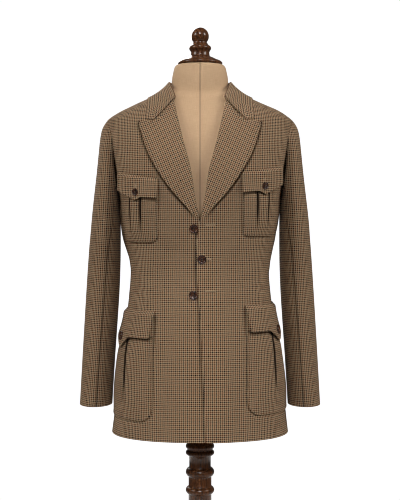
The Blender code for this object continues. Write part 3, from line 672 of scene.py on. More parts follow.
def angle_at_girth(girth, z):
    """Angle of the point that lies this far round its own side from the centre front."""
    return np.sign(girth) * look_up(ANGLE_TABLE, GIRTHS, z, np.abs(girth))


def creases(table, s, t):
    """Heights of a table's creases at (s, t): bells across a line, dying away towards both of its ends."""
    s, t = s[..., None], t[..., None]
    run_s, run_t = table["g1"] - table["g0"], table["z1"] - table["z0"]
    length = np.hypot(run_s, run_t)
    along = np.clip(((s - table["g0"]) * run_s + (t - table["z0"]) * run_t) / length**2, 0, 1)
    bow = CREASE_BOW * length * np.sin(math.pi * along)
    off = ((s - table["g0"]) * run_t - (t - table["z0"]) * run_s) / length - bow
    fade = np.sin(math.pi * along) ** CREASE_FADE
    widen = CREASE_WIDTH[0] + CREASE_WIDTH[1] * along
    return -np.sum(table["depth"] * hump(off, table["width"] * widen) * fade, axis=-1)


def relief(side, girth, z):
    """How far the trunk's cloth stands out of its sections: its creases and a slow unevenness."""
    round_wave = np.sin(SLOW_WAVES[0] * girth + SLOW_SHIFTS[0] * SIDES[side])
    up_wave = np.sin(SLOW_WAVES[1] * z + SLOW_SHIFTS[1])
    return creases(CREASES_AT[side], girth, z) + round_wave * up_wave * SLOW_HEIGHT


def place(side, angle, z, lift):
    """Points and outward directions on one side of the trunk, moved out by lift and by the relief."""
    facing = normal_of(trunk, angle, z, *SMALL_STEPS)
    out = lift + relief(side, girth_at(angle, z), z)
    mirror = np.array((SIDES[side], 1, 1))
    return (trunk(angle, z) + out[..., None] * facing) * mirror, facing * mirror


def cloth_height(z, angle):
    """Length up the cloth to a height, along the trunk at one angle."""
    line = trunk(0 * HEIGHTS + angle, HEIGHTS)
    pieces = np.linalg.norm(np.diff(line, axis=0), axis=1)
    return np.interp(z, HEIGHTS, HEM_Z + np.concatenate([[0], np.cumsum(pieces)]))


def lines(count, crowd=0.35):
    """Even parameters from 0 to 1, crowded towards both ends."""
    x = np.linspace(0, 1, count)
    return (1 - crowd) * x + crowd * (1 - np.cos(math.pi * x)) / 2


def grid(across, up):
    """Two arrays of parameters over a grid, u along its columns and v along its rows."""
    return np.meshgrid(across, up)


def cloth_grid(columns, rows, crowd):
    """A sheet's parameters, u across and v along."""
    return grid(lines(columns), lines(rows, crowd))


def runs(points, axis):
    """Length along each line of a grid of points, from its start."""
    pieces = np.linalg.norm(np.diff(points, axis=axis), axis=-1)
    start = np.zeros_like(np.take(pieces, [0], axis=axis))
    return np.concatenate([start, np.cumsum(pieces, axis=axis)], axis=axis)


def quad_mesh(name, points, quads):
    """A smooth mesh from corners and quads."""
    mesh = bpy.data.meshes.new(name)
    mesh.vertices.add(len(points))
    mesh.vertices.foreach_set("co", np.ascontiguousarray(points, dtype=float).ravel())
    mesh.loops.add(quads.size)
    mesh.loops.foreach_set("vertex_index", np.ascontiguousarray(quads).ravel())
    mesh.polygons.add(len(quads))
    mesh.polygons.foreach_set("loop_start", np.arange(0, quads.size, 4))
    mesh.update(calc_edges=True)
    mesh.shade_smooth()
    return mesh


def grid_mesh(name, points, facing=None, weave=None, around=False, merge=False):
    """A mesh of quads over a grid of points, closed round its columns if asked, facing as given.

    weave is the map of the cloth, in metres at each point.
    """
    rows, columns = points.shape[:2]
    index = np.arange(rows * columns).reshape(rows, columns)
    if around:
        index = np.concatenate([index, index[:, :1]], axis=1)
    quads = np.stack([index[:-1, :-1], index[:-1, 1:], index[1:, 1:], index[1:, :-1]], axis=-1).reshape(-1, 4)
    flat = points.reshape(-1, 3)
    if facing is not None:
        turn = np.cross(flat[quads[:, 2]] - flat[quads[:, 0]], flat[quads[:, 3]] - flat[quads[:, 1]])
        if np.sum(turn * facing.reshape(-1, 3)[quads[:, 0]]) < 0:
            quads = quads[:, ::-1]
    mesh = quad_mesh(name, flat, quads)
    if weave is not None:
        layer = mesh.uv_layers.new(name="Weave")
        layer.uv.foreach_set("vector", weave.reshape(-1, 2)[quads.ravel()].ravel())
    if merge:
        bm = bmesh.new()
        bm.from_mesh(mesh)
        bmesh.ops.remove_doubles(bm, verts=bm.verts[:], dist=SAME_POINT)
        bmesh.ops.recalc_face_normals(bm, faces=bm.faces[:])
        bm.to_mesh(mesh)
        bm.free()
        mesh.shade_smooth()
    return mesh


def piece(name, mesh, finish, slot, *nodes):
    """A named piece of the object that moves with it and stands for these nodes."""
    made = bpy.data.objects.new(name, mesh)
    bpy.context.scene.collection.objects.link(made)
    mesh.materials.append(finish)
    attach(made, "root")
    if nodes:
        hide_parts(*nodes)
    return made


def sheet_of_cloth(name, points, facing, weave, finish, centred=False, fold=None):
    """A sheet of cloth of its real thickness, laid inwards from its outer face, with softened edges.

    fold is a mask of painted shade: 1 in the depth of a groove or seam and under an edge, where the colour is
    darkened as shade falls there, and 0 on open cloth.
    """
    mesh = grid_mesh(name, points, facing, weave)
    # The mask of painted shade is kept on the mesh for the cloth's colour to read.
    if fold is not None:
        mesh.attributes.new("PaintedShade", "FLOAT", "POINT").data.foreach_set("value", np.clip(fold, 0, 1).ravel())
    made = piece(f"cloth_{name}", mesh, finish, "tweed", name)
    solid = made.modifiers.new("Thickness", "SOLIDIFY")
    solid.thickness = CLOTH
    solid.offset = 0 if centred else -1
    solid.use_even_offset = False
    soft = made.modifiers.new("Soft edges", "BEVEL")
    soft.width = SOFT_EDGE
    soft.segments = 2
    soft.limit_method = "ANGLE"
    soft.angle_limit = SHARP_TURN


def armhole(t, face):
    """Angle and height along the armhole from the armpit, t = 0, to the shoulder tip, t = 1.

    It is an oval seen from the side, and face is -1 for its front half and 1 for its back half.
    """
    turn = math.pi * (1 - t)
    z = (TIP_Z + ARMPIT_Z) / 2 + (TIP_Z - ARMPIT_Z) / 2 * np.cos(turn)
    y = SLEEVE_AT["y_mid"][0] + face * SLEEVE_AT["half_depth"][0] * np.sin(turn)
    return angle_at_y(y, z), z


# Share of a trunk panel's rows below the armpit, and of the back's rows above it that rise to the neck
BELOW = 0.58
BACK_NECK_ROW = 0.64


def rows_of(v):
    """Split a panel's v into its share of the way up to the armpit, and above it."""
    return np.clip(v / BELOW, 0, 1), np.clip((v - BELOW) / (1 - BELOW), 0, 1)


def outer_side(v, face):
    """The side seam up to the armpit, then the armhole up to the shoulder tip, less half a seam gap."""
    lower, upper = rows_of(v)
    seam_z = HEM_Z + (ARMPIT_Z - HEM_Z) * lower
    seam = angle_at_y(through(SEAM_AT["z"], SEAM_AT["y"], seam_z), seam_z)
    hole, hole_z = armhole(upper, face)
    half_gap = SEAM_GAP / 2 / np.linalg.norm(trunk(seam, seam_z)[..., :2], axis=-1)
    at_seam = (upper <= 0) | (upper >= 1)
    angle = np.where(upper > 0, hole, seam) + np.where(at_seam, face * half_gap, 0)
    return angle, np.where(upper > 0, hole_z, seam_z)


def edge_x(side, z):
    """Distance of a front's edge or roll line from the centre, towards its own side."""
    return through(EDGE_AT["z"], EDGE_AT[side], z)


def front_lift(side, x, z):
    """The left front lies over the right one near its edge, below the break."""
    if side == "right":
        return 0 * x
    near = 1 - step(OVERLAP_FLAT, OVERLAP_END, x - edge_x(side, z))
    return OVERLAP_LIFT * near * (1 - step(*OVERLAP_FADE_Z, z))


def front_point(side, u, v):
    """Angle and height on a front: u from its edge or roll line to its side seam, v from hem to shoulder."""
    lower, upper = rows_of(v)
    roll_z = BREAK_Z + (NECK_Z - BREAK_Z) * (1 - (1 - upper) ** EDGE_EASE)
    z_edge = np.where(upper > 0, roll_z, HEM_Z + (BREAK_Z - HEM_Z) * lower)
    angle_edge = np.minimum(angle_at_x(edge_x(side, z_edge), z_edge), math.pi / 2 - SEAM_GAP)
    angle_side, z_side = outer_side(v, -1)
    return angle_edge + (angle_side - angle_edge) * u, z_edge + (z_side - z_edge) * u


def front_weave(angle, z):
    """The cloth's map on a front and on what lies on it: length round from the centre, and up."""
    return np.stack([girth_at(angle, z), cloth_height(z, FRONT_WARP_ANGLE)], axis=-1)


def lapel_trough(x, z):
    """A trough that the lapel's outer edge presses in its front: a bell across the edge's line."""
    low, high = LAPEL_AT["z"][0], LAPEL_AT["z"][-1]
    level = np.clip(z, low, high)
    slope = np.gradient(LAPEL_AT["x"], LAPEL_AT["z"])
    lean = np.interp(level, LAPEL_AT["z"], slope)
    across = (x - through(LAPEL_AT["z"], LAPEL_AT["x"], level)) / np.hypot(1, lean)
    ends = step(low, low + TROUGH_START, z) * (1 - step(high - TROUGH_END[0], high + TROUGH_END[1], z))
    return EDGE_TROUGH * hump(across - EDGE_TROUGH_HALF / 3, EDGE_TROUGH_HALF) * ends


def overlap_trough(x, z):
    """A trough along the left front's edge, pressed in the right front that lies under it."""
    off = x + edge_x("left", z) - EDGE_TROUGH_HALF / 3
    return OVERLAP_TROUGH * hump(off, EDGE_TROUGH_HALF) * (1 - step(BREAK_Z - TROUGH_START, BREAK_Z, z))


def pocket_trough(side, size, girth, z):
    """Troughs under a pocket's outline, a box with round lower corners, and under its pleat's grooves."""
    level = z - rise_of(side)
    corner = size["corner"]
    out = np.abs(girth - size["middle"]) - size["half_width"] + corner
    under = size["bottom"] - level + corner
    away = np.hypot(np.maximum(out, 0), np.maximum(under, 0)) + np.minimum(np.maximum(out, under), 0) - corner
    below_top = 1 - step(size["top"], size["top"] + 0.01, level)
    outline = POCKET_TROUGH * hump(away - POCKET_TROUGH_HALF / 2, POCKET_TROUGH_HALF) * below_top
    off = np.abs(girth - pleat_middle(side, size)) - size["pleat"]
    share = (level - size["bottom"]) / (size["top"] - size["bottom"])
    return outline + GROOVE_DEPTH * hump(off, GROOVE_SPREAD * GROOVE_WIDTH) * groove_open(share) * below_top


def build_front(side):
    """A front, pressed in under its lapel and pockets and along its side seam and armhole."""
    u, v = cloth_grid(*FRONT_GRID)
    angle, z = front_point(side, u, v)
    x, girth = trunk(angle, z)[..., 0], girth_at(angle, z)
    lift = front_lift(side, x, z) - lapel_trough(x, z)
    lift = lift - pocket_trough(side, CHEST, girth, z) - pocket_trough(side, HIP, girth, z)
    if side == "right":
        lift = lift - overlap_trough(x, z)
    width = runs(trunk(angle, z), 1)
    from_seam = width[:, -1:] - width
    low_hole = (v > BELOW) * (1 - step(*LOW_HOLE, rows_of(v)[1]))
    at_hole = ARMHOLE_DIP * hump(from_seam, ARMHOLE_SOFT) * low_hole
    lift = lift - np.where(v > BELOW, at_hole, SEAM_DIP * hump(from_seam, SEAM_SOFT))
    points, facing = place(side, angle, z, lift)
    # Painted shade: the colour is darkened in the trough under the lapel's edge, along the side seam and low
    # in the armhole, where shade falls.
    at_seam = SEAM_SHADE * hump(from_seam, SEAM_SHADE_HALF) * (v <= BELOW)
    fold = EDGE_SHADE * lapel_trough(x, z) / EDGE_TROUGH + at_seam
    fold = fold + ARMHOLE_SHADE * hump(from_seam, ARMHOLE_SHADE_HALF) * low_hole
    sheet_of_cloth(f"front_{side}", points, facing, front_weave(angle, z), tweed, fold=fold)


def build_back(side):
    """Half of the back: its inner edge is the centre seam, and then half of the neckline behind."""
    u, v = cloth_grid(*BACK_GRID)
    lower, upper = rows_of(v)
    rising = np.clip(upper / BACK_NECK_ROW, 0, 1)
    round_neck = np.clip((upper - BACK_NECK_ROW) / (1 - BACK_NECK_ROW), 0, 1)
    upper_z = ARMPIT_Z + (NECK_Z - ARMPIT_Z) * rising
    z_middle = np.where(upper > 0, upper_z, HEM_Z + (ARMPIT_Z - HEM_Z) * lower)
    middle_gap = SEAM_GAP / 2 / np.abs(trunk(0 * z_middle + math.pi, z_middle)[..., 1])
    angle_middle = np.maximum(math.pi - middle_gap - math.pi / 2 * round_neck, math.pi / 2 + SEAM_GAP)
    angle_side, z_side = outer_side(v, 1)
    z = z_middle + (z_side - z_middle) * u
    angle = angle_middle + (angle_side - angle_middle) * u
    width = runs(trunk(angle, z), 1)
    at_middle = hump(width, SEAM_SOFT) * (1 - round_neck)
    lift = -SEAM_DIP * (hump(width[:, -1:] - width, SEAM_SOFT) * (v <= BELOW) + at_middle)
    points, facing = place(side, angle, z, lift)
    weave = np.stack([girth_at(angle, z), cloth_height(z, BACK_WARP_ANGLE)], axis=-1)
    sheet_of_cloth(f"back_{side}", points, facing, weave, tweed)


def sleeve_skin(turn, along):
    """The left sleeve's outer skin: turn is 0 outside, 90 degrees in front; along is 0 at the armhole.

    Rings are ovals between an outer and an inner point. Near the armhole their x is drawn to the trunk's.
    """
    ring = along * (len(SLEEVE) - 1)
    numbers = np.arange(len(SLEEVE), dtype=float)
    at = {name: through(numbers, values, ring) for name, values in SLEEVE_AT.items()}
    outwards, forwards = np.cos(turn), np.sin(turn)
    x = (at["x_out"] + at["x_in"]) / 2 + (at["x_out"] - at["x_in"]) / 2 * outwards
    z = (at["z_out"] + at["z_in"]) / 2 + (at["z_out"] - at["z_in"]) / 2 * outwards
    y = at["y_mid"] - at["half_depth"] * forwards
    first = {name: values[0] for name, values in SLEEVE_AT.items()}
    hole_y = first["y_mid"] - first["half_depth"] * forwards
    hole_z = (TIP_Z + ARMPIT_Z) / 2 + (TIP_Z - ARMPIT_Z) / 2 * outwards
    hole_x = trunk(angle_at_y(hole_y, hole_z), hole_z)[..., 0]
    flat_x = (first["x_out"] + first["x_in"]) / 2 + (first["x_out"] - first["x_in"]) / 2 * outwards
    drawn = np.clip(1 - ring / DRAWN_RINGS, 0, 1) ** 2
    return np.stack([x + (hole_x + ARMHOLE_GAP - flat_x) * drawn, y, z], axis=-1)


def degrees_of(turn):
    """A turn round a sleeve in degrees, from -180 to 180."""
    return (np.degrees(turn) + 180) % 360 - 180


def in_front(turn):
    """1 on the front of a sleeve, from its upper front down to its inner side, and 0 behind."""
    degrees = degrees_of(turn)
    return step(*SLEEVE_FRONT_FROM, degrees) * (1 - step(*SLEEVE_FRONT_TO, degrees))


def sleeve_point(side, part, u, along):
    """Points, outward directions and turns of a sleeve's top or under piece, with its creases and dips."""
    forearm = np.radians(through(FOREARM_AT["along"], FOREARM_AT["degrees"], along))
    hind = np.interp(along, (0, 1), np.radians(HIND_SEAM))
    half_gap = SEAM_GAP / 2 / SLEEVE_MEAN_R
    start, end = (hind, forearm) if part == "top" else (forearm, hind + 2 * math.pi)
    turn = start + half_gap + (end - start - 2 * half_gap) * u
    skin = sleeve_skin(turn, along)
    facing = normal_of(sleeve_skin, turn, along, *SMALL_STEPS)
    around = degrees_of(turn) * DEGREE_LENGTH
    lift = creases(SLEEVE_CREASES_AT[side], around, skin[..., 2]) * step(*SLEEVE_CREASES_FROM, along)
    across = runs(skin, 1)
    lift = lift - SEAM_DIP * (hump(across, SEAM_SOFT) + hump(across[:, -1:] - across, SEAM_SOFT))
    lift = lift - ARMHOLE_DIP * hump(runs(skin, 0), ARMHOLE_SOFT) * in_front(turn)
    mirror = np.array((SIDES[side], 1, 1))
    return (skin + lift[..., None] * facing) * mirror, facing * mirror, turn


def sleeve_weave(points, part):
    """The cloth's map on a sleeve: length round a mean oval about the sleeve's slanted axis, and up."""
    x, y, z = np.abs(points[..., 0]), points[..., 1], points[..., 2]
    axis_x = SLEEVE_AXIS[0] - SLEEVE_SLANT * (z - SLEEVE_AXIS[2])
    turn = np.arctan2((SLEEVE_AXIS[1] - y) / SLEEVE_OVAL[1], (x - axis_x) / SLEEVE_OVAL[0])
    if part == "under":
        turn = turn % (2 * math.pi)
    angles = np.linspace(-math.pi, 2 * math.pi, 601)
    oval = np.stack([SLEEVE_OVAL[0] * np.cos(angles), SLEEVE_OVAL[1] * np.sin(angles)], axis=-1)
    return np.stack([np.interp(turn, angles, runs(oval, 0)), z - SLEEVE_SLANT * x], axis=-1)


def build_sleeve(side, part):
    """The top or under piece of a sleeve, with painted shade along its seams and low in the armhole."""
    u, along = cloth_grid(*SLEEVE_GRIDS[part])
    points, facing, turn = sleeve_point(side, part, u, along)
    across = runs(points, 1)
    # Painted shade: the colour is darkened along both seams and low in the armhole, where shade falls.
    fold = SEAM_SHADE * (hump(across, SEAM_SHADE_HALF) + hump(across[:, -1:] - across, SEAM_SHADE_HALF))
    fold = fold + ARMHOLE_SHADE * hump(runs(points, 0), ARMHOLE_SHADE_HALF) * in_front(turn)
    weave = sleeve_weave(points, part)
    sheet_of_cloth(f"sleeve_{part}_{side}", points, facing, weave, tweed, fold=fold)


def lapel_face(side, u, v):
    """Own-side x and height on a lapel's face: u from the roll line to the edge, v from foot to gorge."""
    z_roll = LAPEL_FOOT_Z + (GORGE_TOP_Z - GORGE_GAP - LAPEL_FOOT_Z) * v
    x_roll = edge_x(side, z_roll) + LAPEL_INSET
    z_edge = LAPEL_AT["z"][0] + (LAPEL_AT["z"][-1] - LAPEL_AT["z"][0]) * v
    x_edge = through(LAPEL_AT["z"], LAPEL_AT["x"], z_edge)
    dip = np.interp(u, (0, GORGE_TURN, 1), (0, GORGE_DIP, 0)) * v**4
    return x_roll + (x_edge - x_roll) * u, z_roll + (z_edge - z_roll) * u - dip


def lapel_lift(side, x, z, u, v):
    """A lapel lies on its front, with a soft belly towards its foot."""
    belly = LAPEL_BELLY * np.sin(math.pi * u) * (1 - v) ** 1.2 * step(0, 0.2, v)
    stand = EDGE_STAND * step(0.78, 1.0, u) * step(0, 0.15, v)
    return front_lift(side, x, z) + LAY_GAP + CLOTH + belly + stand


def build_lapel(side):
    """The lapel's face, and before it the roll: half a round under the roll line."""
    columns, rows, crowd = LAPEL_GRID
    roll = np.linspace(-1, 0, LAPEL_ROLL_COLUMNS)[:-1]
    w, v = grid(np.concatenate([roll, lines(columns)]), lines(rows, crowd))
    u = np.maximum(w, 0)
    turn = math.pi * np.maximum(-w, 0)
    x, z = lapel_face(side, u, v)
    lift = lapel_lift(side, x, z, u, v) - LAPEL_ROLL_R * (1 - np.cos(turn))
    x = x - LAPEL_ROLL_R * np.sin(turn)
    points, facing = place(side, angle_at_x(x, z), z, lift)
    facing = np.where((w > 0)[..., None], facing, 0)
    s, t = x + w * (w < 0) * math.pi * LAPEL_ROLL_R, z
    weave = np.stack([
        s * math.cos(LAPEL_GRAIN) - t * math.sin(LAPEL_GRAIN),
        s * math.sin(LAPEL_GRAIN) + t * math.cos(LAPEL_GRAIN),
    ], axis=-1)
    sheet_of_cloth(f"lapel_{side}", points, facing, weave, tweed)


def collar_middle(s, c):
    """The middle of the collar's cloth: s runs from the right gorge to the left one, c from foot to edge.

    The leaf is a patch of the trunk between the neckline and the leaf's edge, raised by the stand at the
    fold. The stand goes straight up from just inside the neckline.
    """
    far = np.minimum(np.abs(s), 1)
    sign = np.where(s < 0, -1, 1)
    at_back = far < SHOULDER_AT
    behind = np.clip(far / SHOULDER_AT, 0, 1)
    ahead = np.clip((far - SHOULDER_AT) / (1 - SHOULDER_AT), 0, 1)
    back_angle = math.pi - math.pi / 2 * behind
    neck_z = NECK_Z - (NECK_Z - GORGE_TOP_Z) * ahead**EDGE_EASE
    neck = np.where(at_back, back_angle, angle_at_x(edge_x("left", neck_z), neck_z))
    edge_z = np.where(
        at_back,
        LEAF_BACK_Z + (LEAF_SHOULDER_Z - LEAF_BACK_Z) * behind**2,
        LEAF_SHOULDER_Z - (LEAF_SHOULDER_Z - LEAF_CORNER_Z) * ahead**EDGE_EASE,
    )
    edge = np.where(at_back, back_angle, angle_at_x(0 * far + LEAF_X, edge_z))
    stand = np.interp(far, (0, SHOULDER_AT, 1), (STAND_BACK, STAND_SIDE, STAND_FRONT))
    w = np.clip((c - FOLD_END) / (1 - FOLD_END), 0, 1)
    dip = np.interp(w, (0, LEAF_TURN, 1), (0, LEAF_DIP, 0)) * ahead**4
    angle, z = neck + (edge - neck) * w, neck_z + (edge_z - neck_z) * w - dip
    facing = normal_of(trunk, sign * angle, z, *SMALL_STEPS)
    leaf = trunk(sign * angle, z) + (COLLAR_GAP + CLOTH / 2) * facing
    level = np.clip(c, 0, FOLD_END)
    rise = through(STAND_AT["c"], STAND_AT["rise"], level) * stand * (1 - w) ** LEAF_HOLLOW
    inside = through(STAND_AT["c"], STAND_AT["inside"], level) * FOLD_WIDTH
    at_neck = normal_of(trunk, sign * neck, neck_z, *SMALL_STEPS)
    down_neck = trunk(sign * neck, neck_z) * (1, 1, 0)
    inwards = -unit(down_neck - np.sum(down_neck * at_neck, axis=-1, keepdims=True) * at_neck)
    return leaf + inside[..., None] * inwards + rise[..., None] * (0, 0, 1)


def build_collar():
    """The collar's stand and leaf in one sheet, its map counted from the middle of the back."""
    columns, rows, crowd = COLLAR_GRID
    middle = columns // 2
    s, c = grid(np.linspace(-1, 1, columns), lines(rows, crowd))
    points = collar_middle(s, c)
    facing = normal_of(collar_middle, s, c, *COLLAR_STEPS)
    along = runs(points, 1)[-1]
    across = runs(points, 0)[:, middle]
    weave = np.stack(np.broadcast_arrays(along - along[middle], across[:, None]), axis=-1)
    sheet_of_cloth("collar", points, facing, weave, tweed, centred=True)


def rise_of(side):
    """The left pockets sit a little higher than the right ones."""
    return LEFT_RISE if side == "left" else 0.0


def pocket_point(side, size, across, v):
    """Angle and height on a patch pocket: across from -1 to 1, v from its foot to its mouth."""
    girth = size["middle"] + size["half_width"] * across
    cut = np.clip(1 - (1 - np.abs(across)) * size["half_width"] / size["corner"], 0, 1)
    bottom = size["bottom"] + size["corner"] * (1 - np.sqrt(1 - cut**2))
    top = size["top"] + size["slope"] * size["half_width"] * across
    z = bottom + (top - bottom) * v + rise_of(side)
    return angle_at_girth(girth, z), z, girth


def pleat_middle(side, size):
    """Where a pocket's pleat is centred, round from the centre front."""
    return size["pleat_at"] + size["pleat_shift"] * (side == "right")


def groove_open(v):
    """How far a pleat's grooves are open: they close towards the pocket's foot."""
    return step(*GROOVE_FROM, v)


def pocket_lift(side, size, girth, across, v):
    """A pocket lies on its panel, with a raised pleat between two grooves that close towards its foot.

    Its sides and foot are turned down on to the panel.
    """
    off = np.abs(girth - pleat_middle(side, size))
    strip = 1 - step(size["pleat"] - PLEAT_EDGE[0], size["pleat"] + PLEAT_EDGE[1], off)
    puff = POCKET_PUFF * (1 - across**2) ** 0.7 * step(*PUFF_FROM, v) * (1 - step(*PUFF_TO, v))
    groove = GROOVE_DEPTH * hump(off - size["pleat"], GROOVE_WIDTH) * groove_open(v)
    from_side = (1 - np.abs(across)) * size["half_width"]
    from_foot = v * (size["top"] - size["bottom"])
    turned_in = LAY_GAP * (1 - step(0, TURNED_EDGE, np.minimum(from_side, from_foot)))
    return LAY_GAP + CLOTH + puff + PLEAT_LIFT * strip * step(*PLEAT_FROM, v) - groove - turned_in


def build_pocket(name, side, size, flap, columns, rows):
    """A patch pocket, with more lines near its pleat's grooves and its edges, painted shade in its grooves
    and a painted shadow under its flap's foot.
    """
    near = np.linspace(-GROOVE_REACH, GROOVE_REACH, GROOVE_COLUMNS)
    middle = (pleat_middle(side, size) - size["middle"]) / size["half_width"]
    grooves = [middle + (way * size["pleat"] + near) / size["half_width"] for way in (-1, 1)]
    border = np.linspace(0, TURNED_EDGE, BORDER_LINES) / size["half_width"]
    across = np.unique(np.concatenate([2 * lines(columns) - 1, *grooves, border - 1, 1 - border]))
    foot = np.linspace(0, TURNED_EDGE, BORDER_LINES) / (size["top"] - size["bottom"])
    up = np.unique(np.concatenate([lines(rows, POCKET_CROWD), foot]))
    across, v = grid(across[np.abs(across) <= 1], up)
    angle, z, girth = pocket_point(side, size, across, v)
    points, facing = place(side, angle, z, pocket_lift(side, size, girth, across, v))
    off = np.abs(girth - pleat_middle(side, size)) - size["pleat"]
    # Painted shade in the pleat's grooves, and a painted shadow in a band just under the flap's foot.
    fold = PLEAT_SHADE * hump(off, PLEAT_SHADE_HALF) * groove_open(v)
    foot = flap["foot"]
    under = through(foot["across"], foot["z"], np.clip((girth - flap["middle"]) / flap["foot_half"], -1, 1))
    fold = fold + FLAP_SHADE * hump(z - rise_of(side) - under, FLAP_SHADE_HALF)
    sheet_of_cloth(f"{name}_{side}", points, facing, front_weave(angle, z), tweed, fold=fold)


def flap_point(side, size, across, v):
    """Angle and height on a pocket flap: across from -1 to 1, v from its foot to its seam."""
    half = size["foot_half"] + (size["top_half"] - size["foot_half"]) * v
    top = size["top"] + size["slope"] * size["top_half"] * across
    foot = through(size["foot"]["across"], size["foot"]["z"], across)
    z = foot + (top - foot) * v + rise_of(side)
    return angle_at_girth(size["middle"] + half * across, z), z


def flap_lift(across, v):
    """A flap lies on the panel at its seam and on the pocket below it, and its foot and corners stand off."""
    seat = LAY_GAP + (FLAP_LIFT - LAY_GAP) * step(0, FLAP_SEAM, 1 - v) + CLOTH
    curl = FLAP_CURL * (1 - v) ** 2 * (0.75 + 0.25 * np.abs(across) ** 3)
    return seat + curl + FLAP_END_STAND * np.abs(across) ** 12


def build_flap(name, side, size, columns):
    """A pocket flap with a pointed foot."""
    across, v = grid(2 * lines(columns) - 1, lines(*FLAP_ROWS))
    angle, z = flap_point(side, size, across, v)
    points, facing = place(side, angle, z, flap_lift(across, v))
    sheet_of_cloth(f"{name}_{side}", points, facing, front_weave(angle, z), tweed)


def tube(path, facing, radius, sides=8, closed=False):
    """Points of a round tube along a path, its section set by the path's direction and the facing."""
    if closed:
        ahead = np.roll(path, -1, axis=0) - np.roll(path, 1, axis=0)
    else:
        ahead = np.gradient(path, axis=0)
    ahead = unit(ahead)
    aside = unit(np.cross(ahead, facing))
    up = np.cross(aside, ahead)
    angles = np.linspace(0, 2 * math.pi, sides, endpoint=False)
    ring = np.cos(angles)[None, :, None] * aside[:, None] + np.sin(angles)[None, :, None] * up[:, None]
    radius = np.broadcast_to(radius, (len(path),))
    return path[:, None] + radius[:, None, None] * ring


def join(parts):
    """One mesh's corners and faces from several (points, faces) pairs of quads."""
    offsets = np.cumsum([0] + [len(p) for p, _ in parts[:-1]])
    return np.concatenate([p for p, _ in parts]), np.concatenate([f + o for (_, f), o in zip(parts, offsets)])


def tube_part(points, closed):
    """A run of rings as corners and quads, closed on itself or with its ends capped."""
    count, sides = points.shape[:2]
    index = np.arange(count * sides).reshape(count, sides)
    ahead, beside = np.roll(index, -1, axis=0), np.roll(index, -1, axis=1)
    quads = np.stack([index, ahead, np.roll(ahead, -1, axis=1), beside], axis=-1)
    if closed:
        return points.reshape(-1, 3), quads.reshape(-1, 4)
    cap = np.array([(0, k, k + 1, k + 2) for k in range(1, sides - 2, 2)])
    ends = np.concatenate([cap, cap[:, ::-1] + index[-1, 0]])
    return points.reshape(-1, 3), np.concatenate([quads[:-1].reshape(-1, 4), ends])


def stitch_parts(path, facing, pitch, length, radius):
    """Stitches along a path: short beads of four sides, pointed at both ends, every pitch."""
    run = np.concatenate([[0], np.cumsum(np.linalg.norm(np.diff(path, axis=0), axis=1))])
    at = np.arange(pitch / 2, run[-1], pitch)
    middle = np.stack([np.interp(at, run, path[:, k]) for k in range(3)], axis=-1)
    up = unit(np.stack([np.interp(at, run, facing[:, k]) for k in range(3)], axis=-1))
    ahead = np.stack([np.interp(at + pitch / 4, run, path[:, k]) for k in range(3)], axis=-1) - middle
    ahead = unit(ahead - np.sum(ahead * up, axis=-1, keepdims=True) * up)
    aside = np.cross(up, ahead)
    stations = np.array([-0.5, -0.3, 0.3, 0.5]) * length
    girth = np.array([0.15, 1.0, 1.0, 0.15]) * radius
    sink = np.array([-1.0, 0.1, 0.1, -1.0]) * radius
    turn = np.radians([0, 90, 180, 270])
    points = (
        middle[:, None, None]
        + stations[None, :, None, None] * ahead[:, None, None]
        + (girth[:, None] * np.cos(turn))[None, :, :, None] * aside[:, None, None]
        + (sink[:, None] + girth[:, None] * np.sin(turn))[None, :, :, None] * up[:, None, None]
    )
    index = np.arange(16).reshape(4, 4)
    beside = np.roll(index, -1, axis=1)
    quads = np.stack([index[:-1], beside[:-1], beside[1:], index[1:]], axis=-1).reshape(-1, 4)
    quads = np.concatenate([quads, [index[0][::-1], index[-1]]])
    faces = (quads[None] + 16 * np.arange(len(middle))[:, None, None]).reshape(-1, 4)
    return points.reshape(-1, 3), faces


def lathe(name, profile, sides=96):
    """A turned surface from a profile of (radius, height), closed at its poles."""
    r, z = np.array(profile, float).T
    turn = np.linspace(0, 2 * math.pi, sides, endpoint=False)
    points = np.stack([
        r[:, None] * np.cos(turn), r[:, None] * np.sin(turn), np.broadcast_to(z[:, None], (len(r), sides))
    ], axis=-1)
    return grid_mesh(name, points, around=True, merge=True)


def arc(r, z, radius, start, end, count):
    """Points of a round moulding about (r, z), from one angle above the level to another."""
    angles = np.radians(np.linspace(start, end, count))
    return list(zip(r + radius * np.cos(angles), z + radius * np.sin(angles)))


def on_cloth(side, girth, z, lift):
    """One point on the trunk's cloth with its directions: to the image's right, up and outwards."""
    at, height = np.array([girth]), np.array([z])
    point, facing = place(side, angle_at_girth(at, height), height, np.array([lift]))
    aside = unit(np.cross((0, 0, 1), -facing[0]))
    return point[0], -aside, np.cross(facing[0], -aside), facing[0]


def button_points(radius):
    """A button over a polar grid: its dished face with four sunk holes, its edge, its back and its shank."""
    turn = np.linspace(0, 2 * math.pi, BUTTON_SIDES, endpoint=False)
    face = np.concatenate([np.linspace(0, 0.46, 17), np.linspace(0.49, 1, 18)])
    hole_x = HOLE_AT * np.cos(np.radians(HOLE_TURNS))
    hole_y = HOLE_AT * np.sin(np.radians(HOLE_TURNS))
    x, y = face[:, None] * np.cos(turn), face[:, None] * np.sin(turn)
    near = np.min(np.hypot(x[..., None] - hole_x, y[..., None] - hole_y), axis=-1)
    sunk = 1 - step(0.75 * HOLE_R, 1.2 * HOLE_R, near)
    thick = BUTTON_THICKNESS * radius
    dished = through(BUTTON_AT["r"], BUTTON_AT["height"], face)[:, None]
    height = BUTTON_SHANK + thick * (dished - HOLE_SINK * sunk)
    under = np.array(BUTTON_UNDER)
    under_x, under_y = under[:, :1] * np.cos(turn), under[:, :1] * np.sin(turn)
    under_z = np.broadcast_to(BUTTON_SHANK * under[:, 1:2], under_x.shape)
    return np.concatenate([
        np.stack([x * radius, y * radius, height], axis=-1),
        np.stack([under_x * radius, under_y * radius, under_z], axis=-1),
    ])


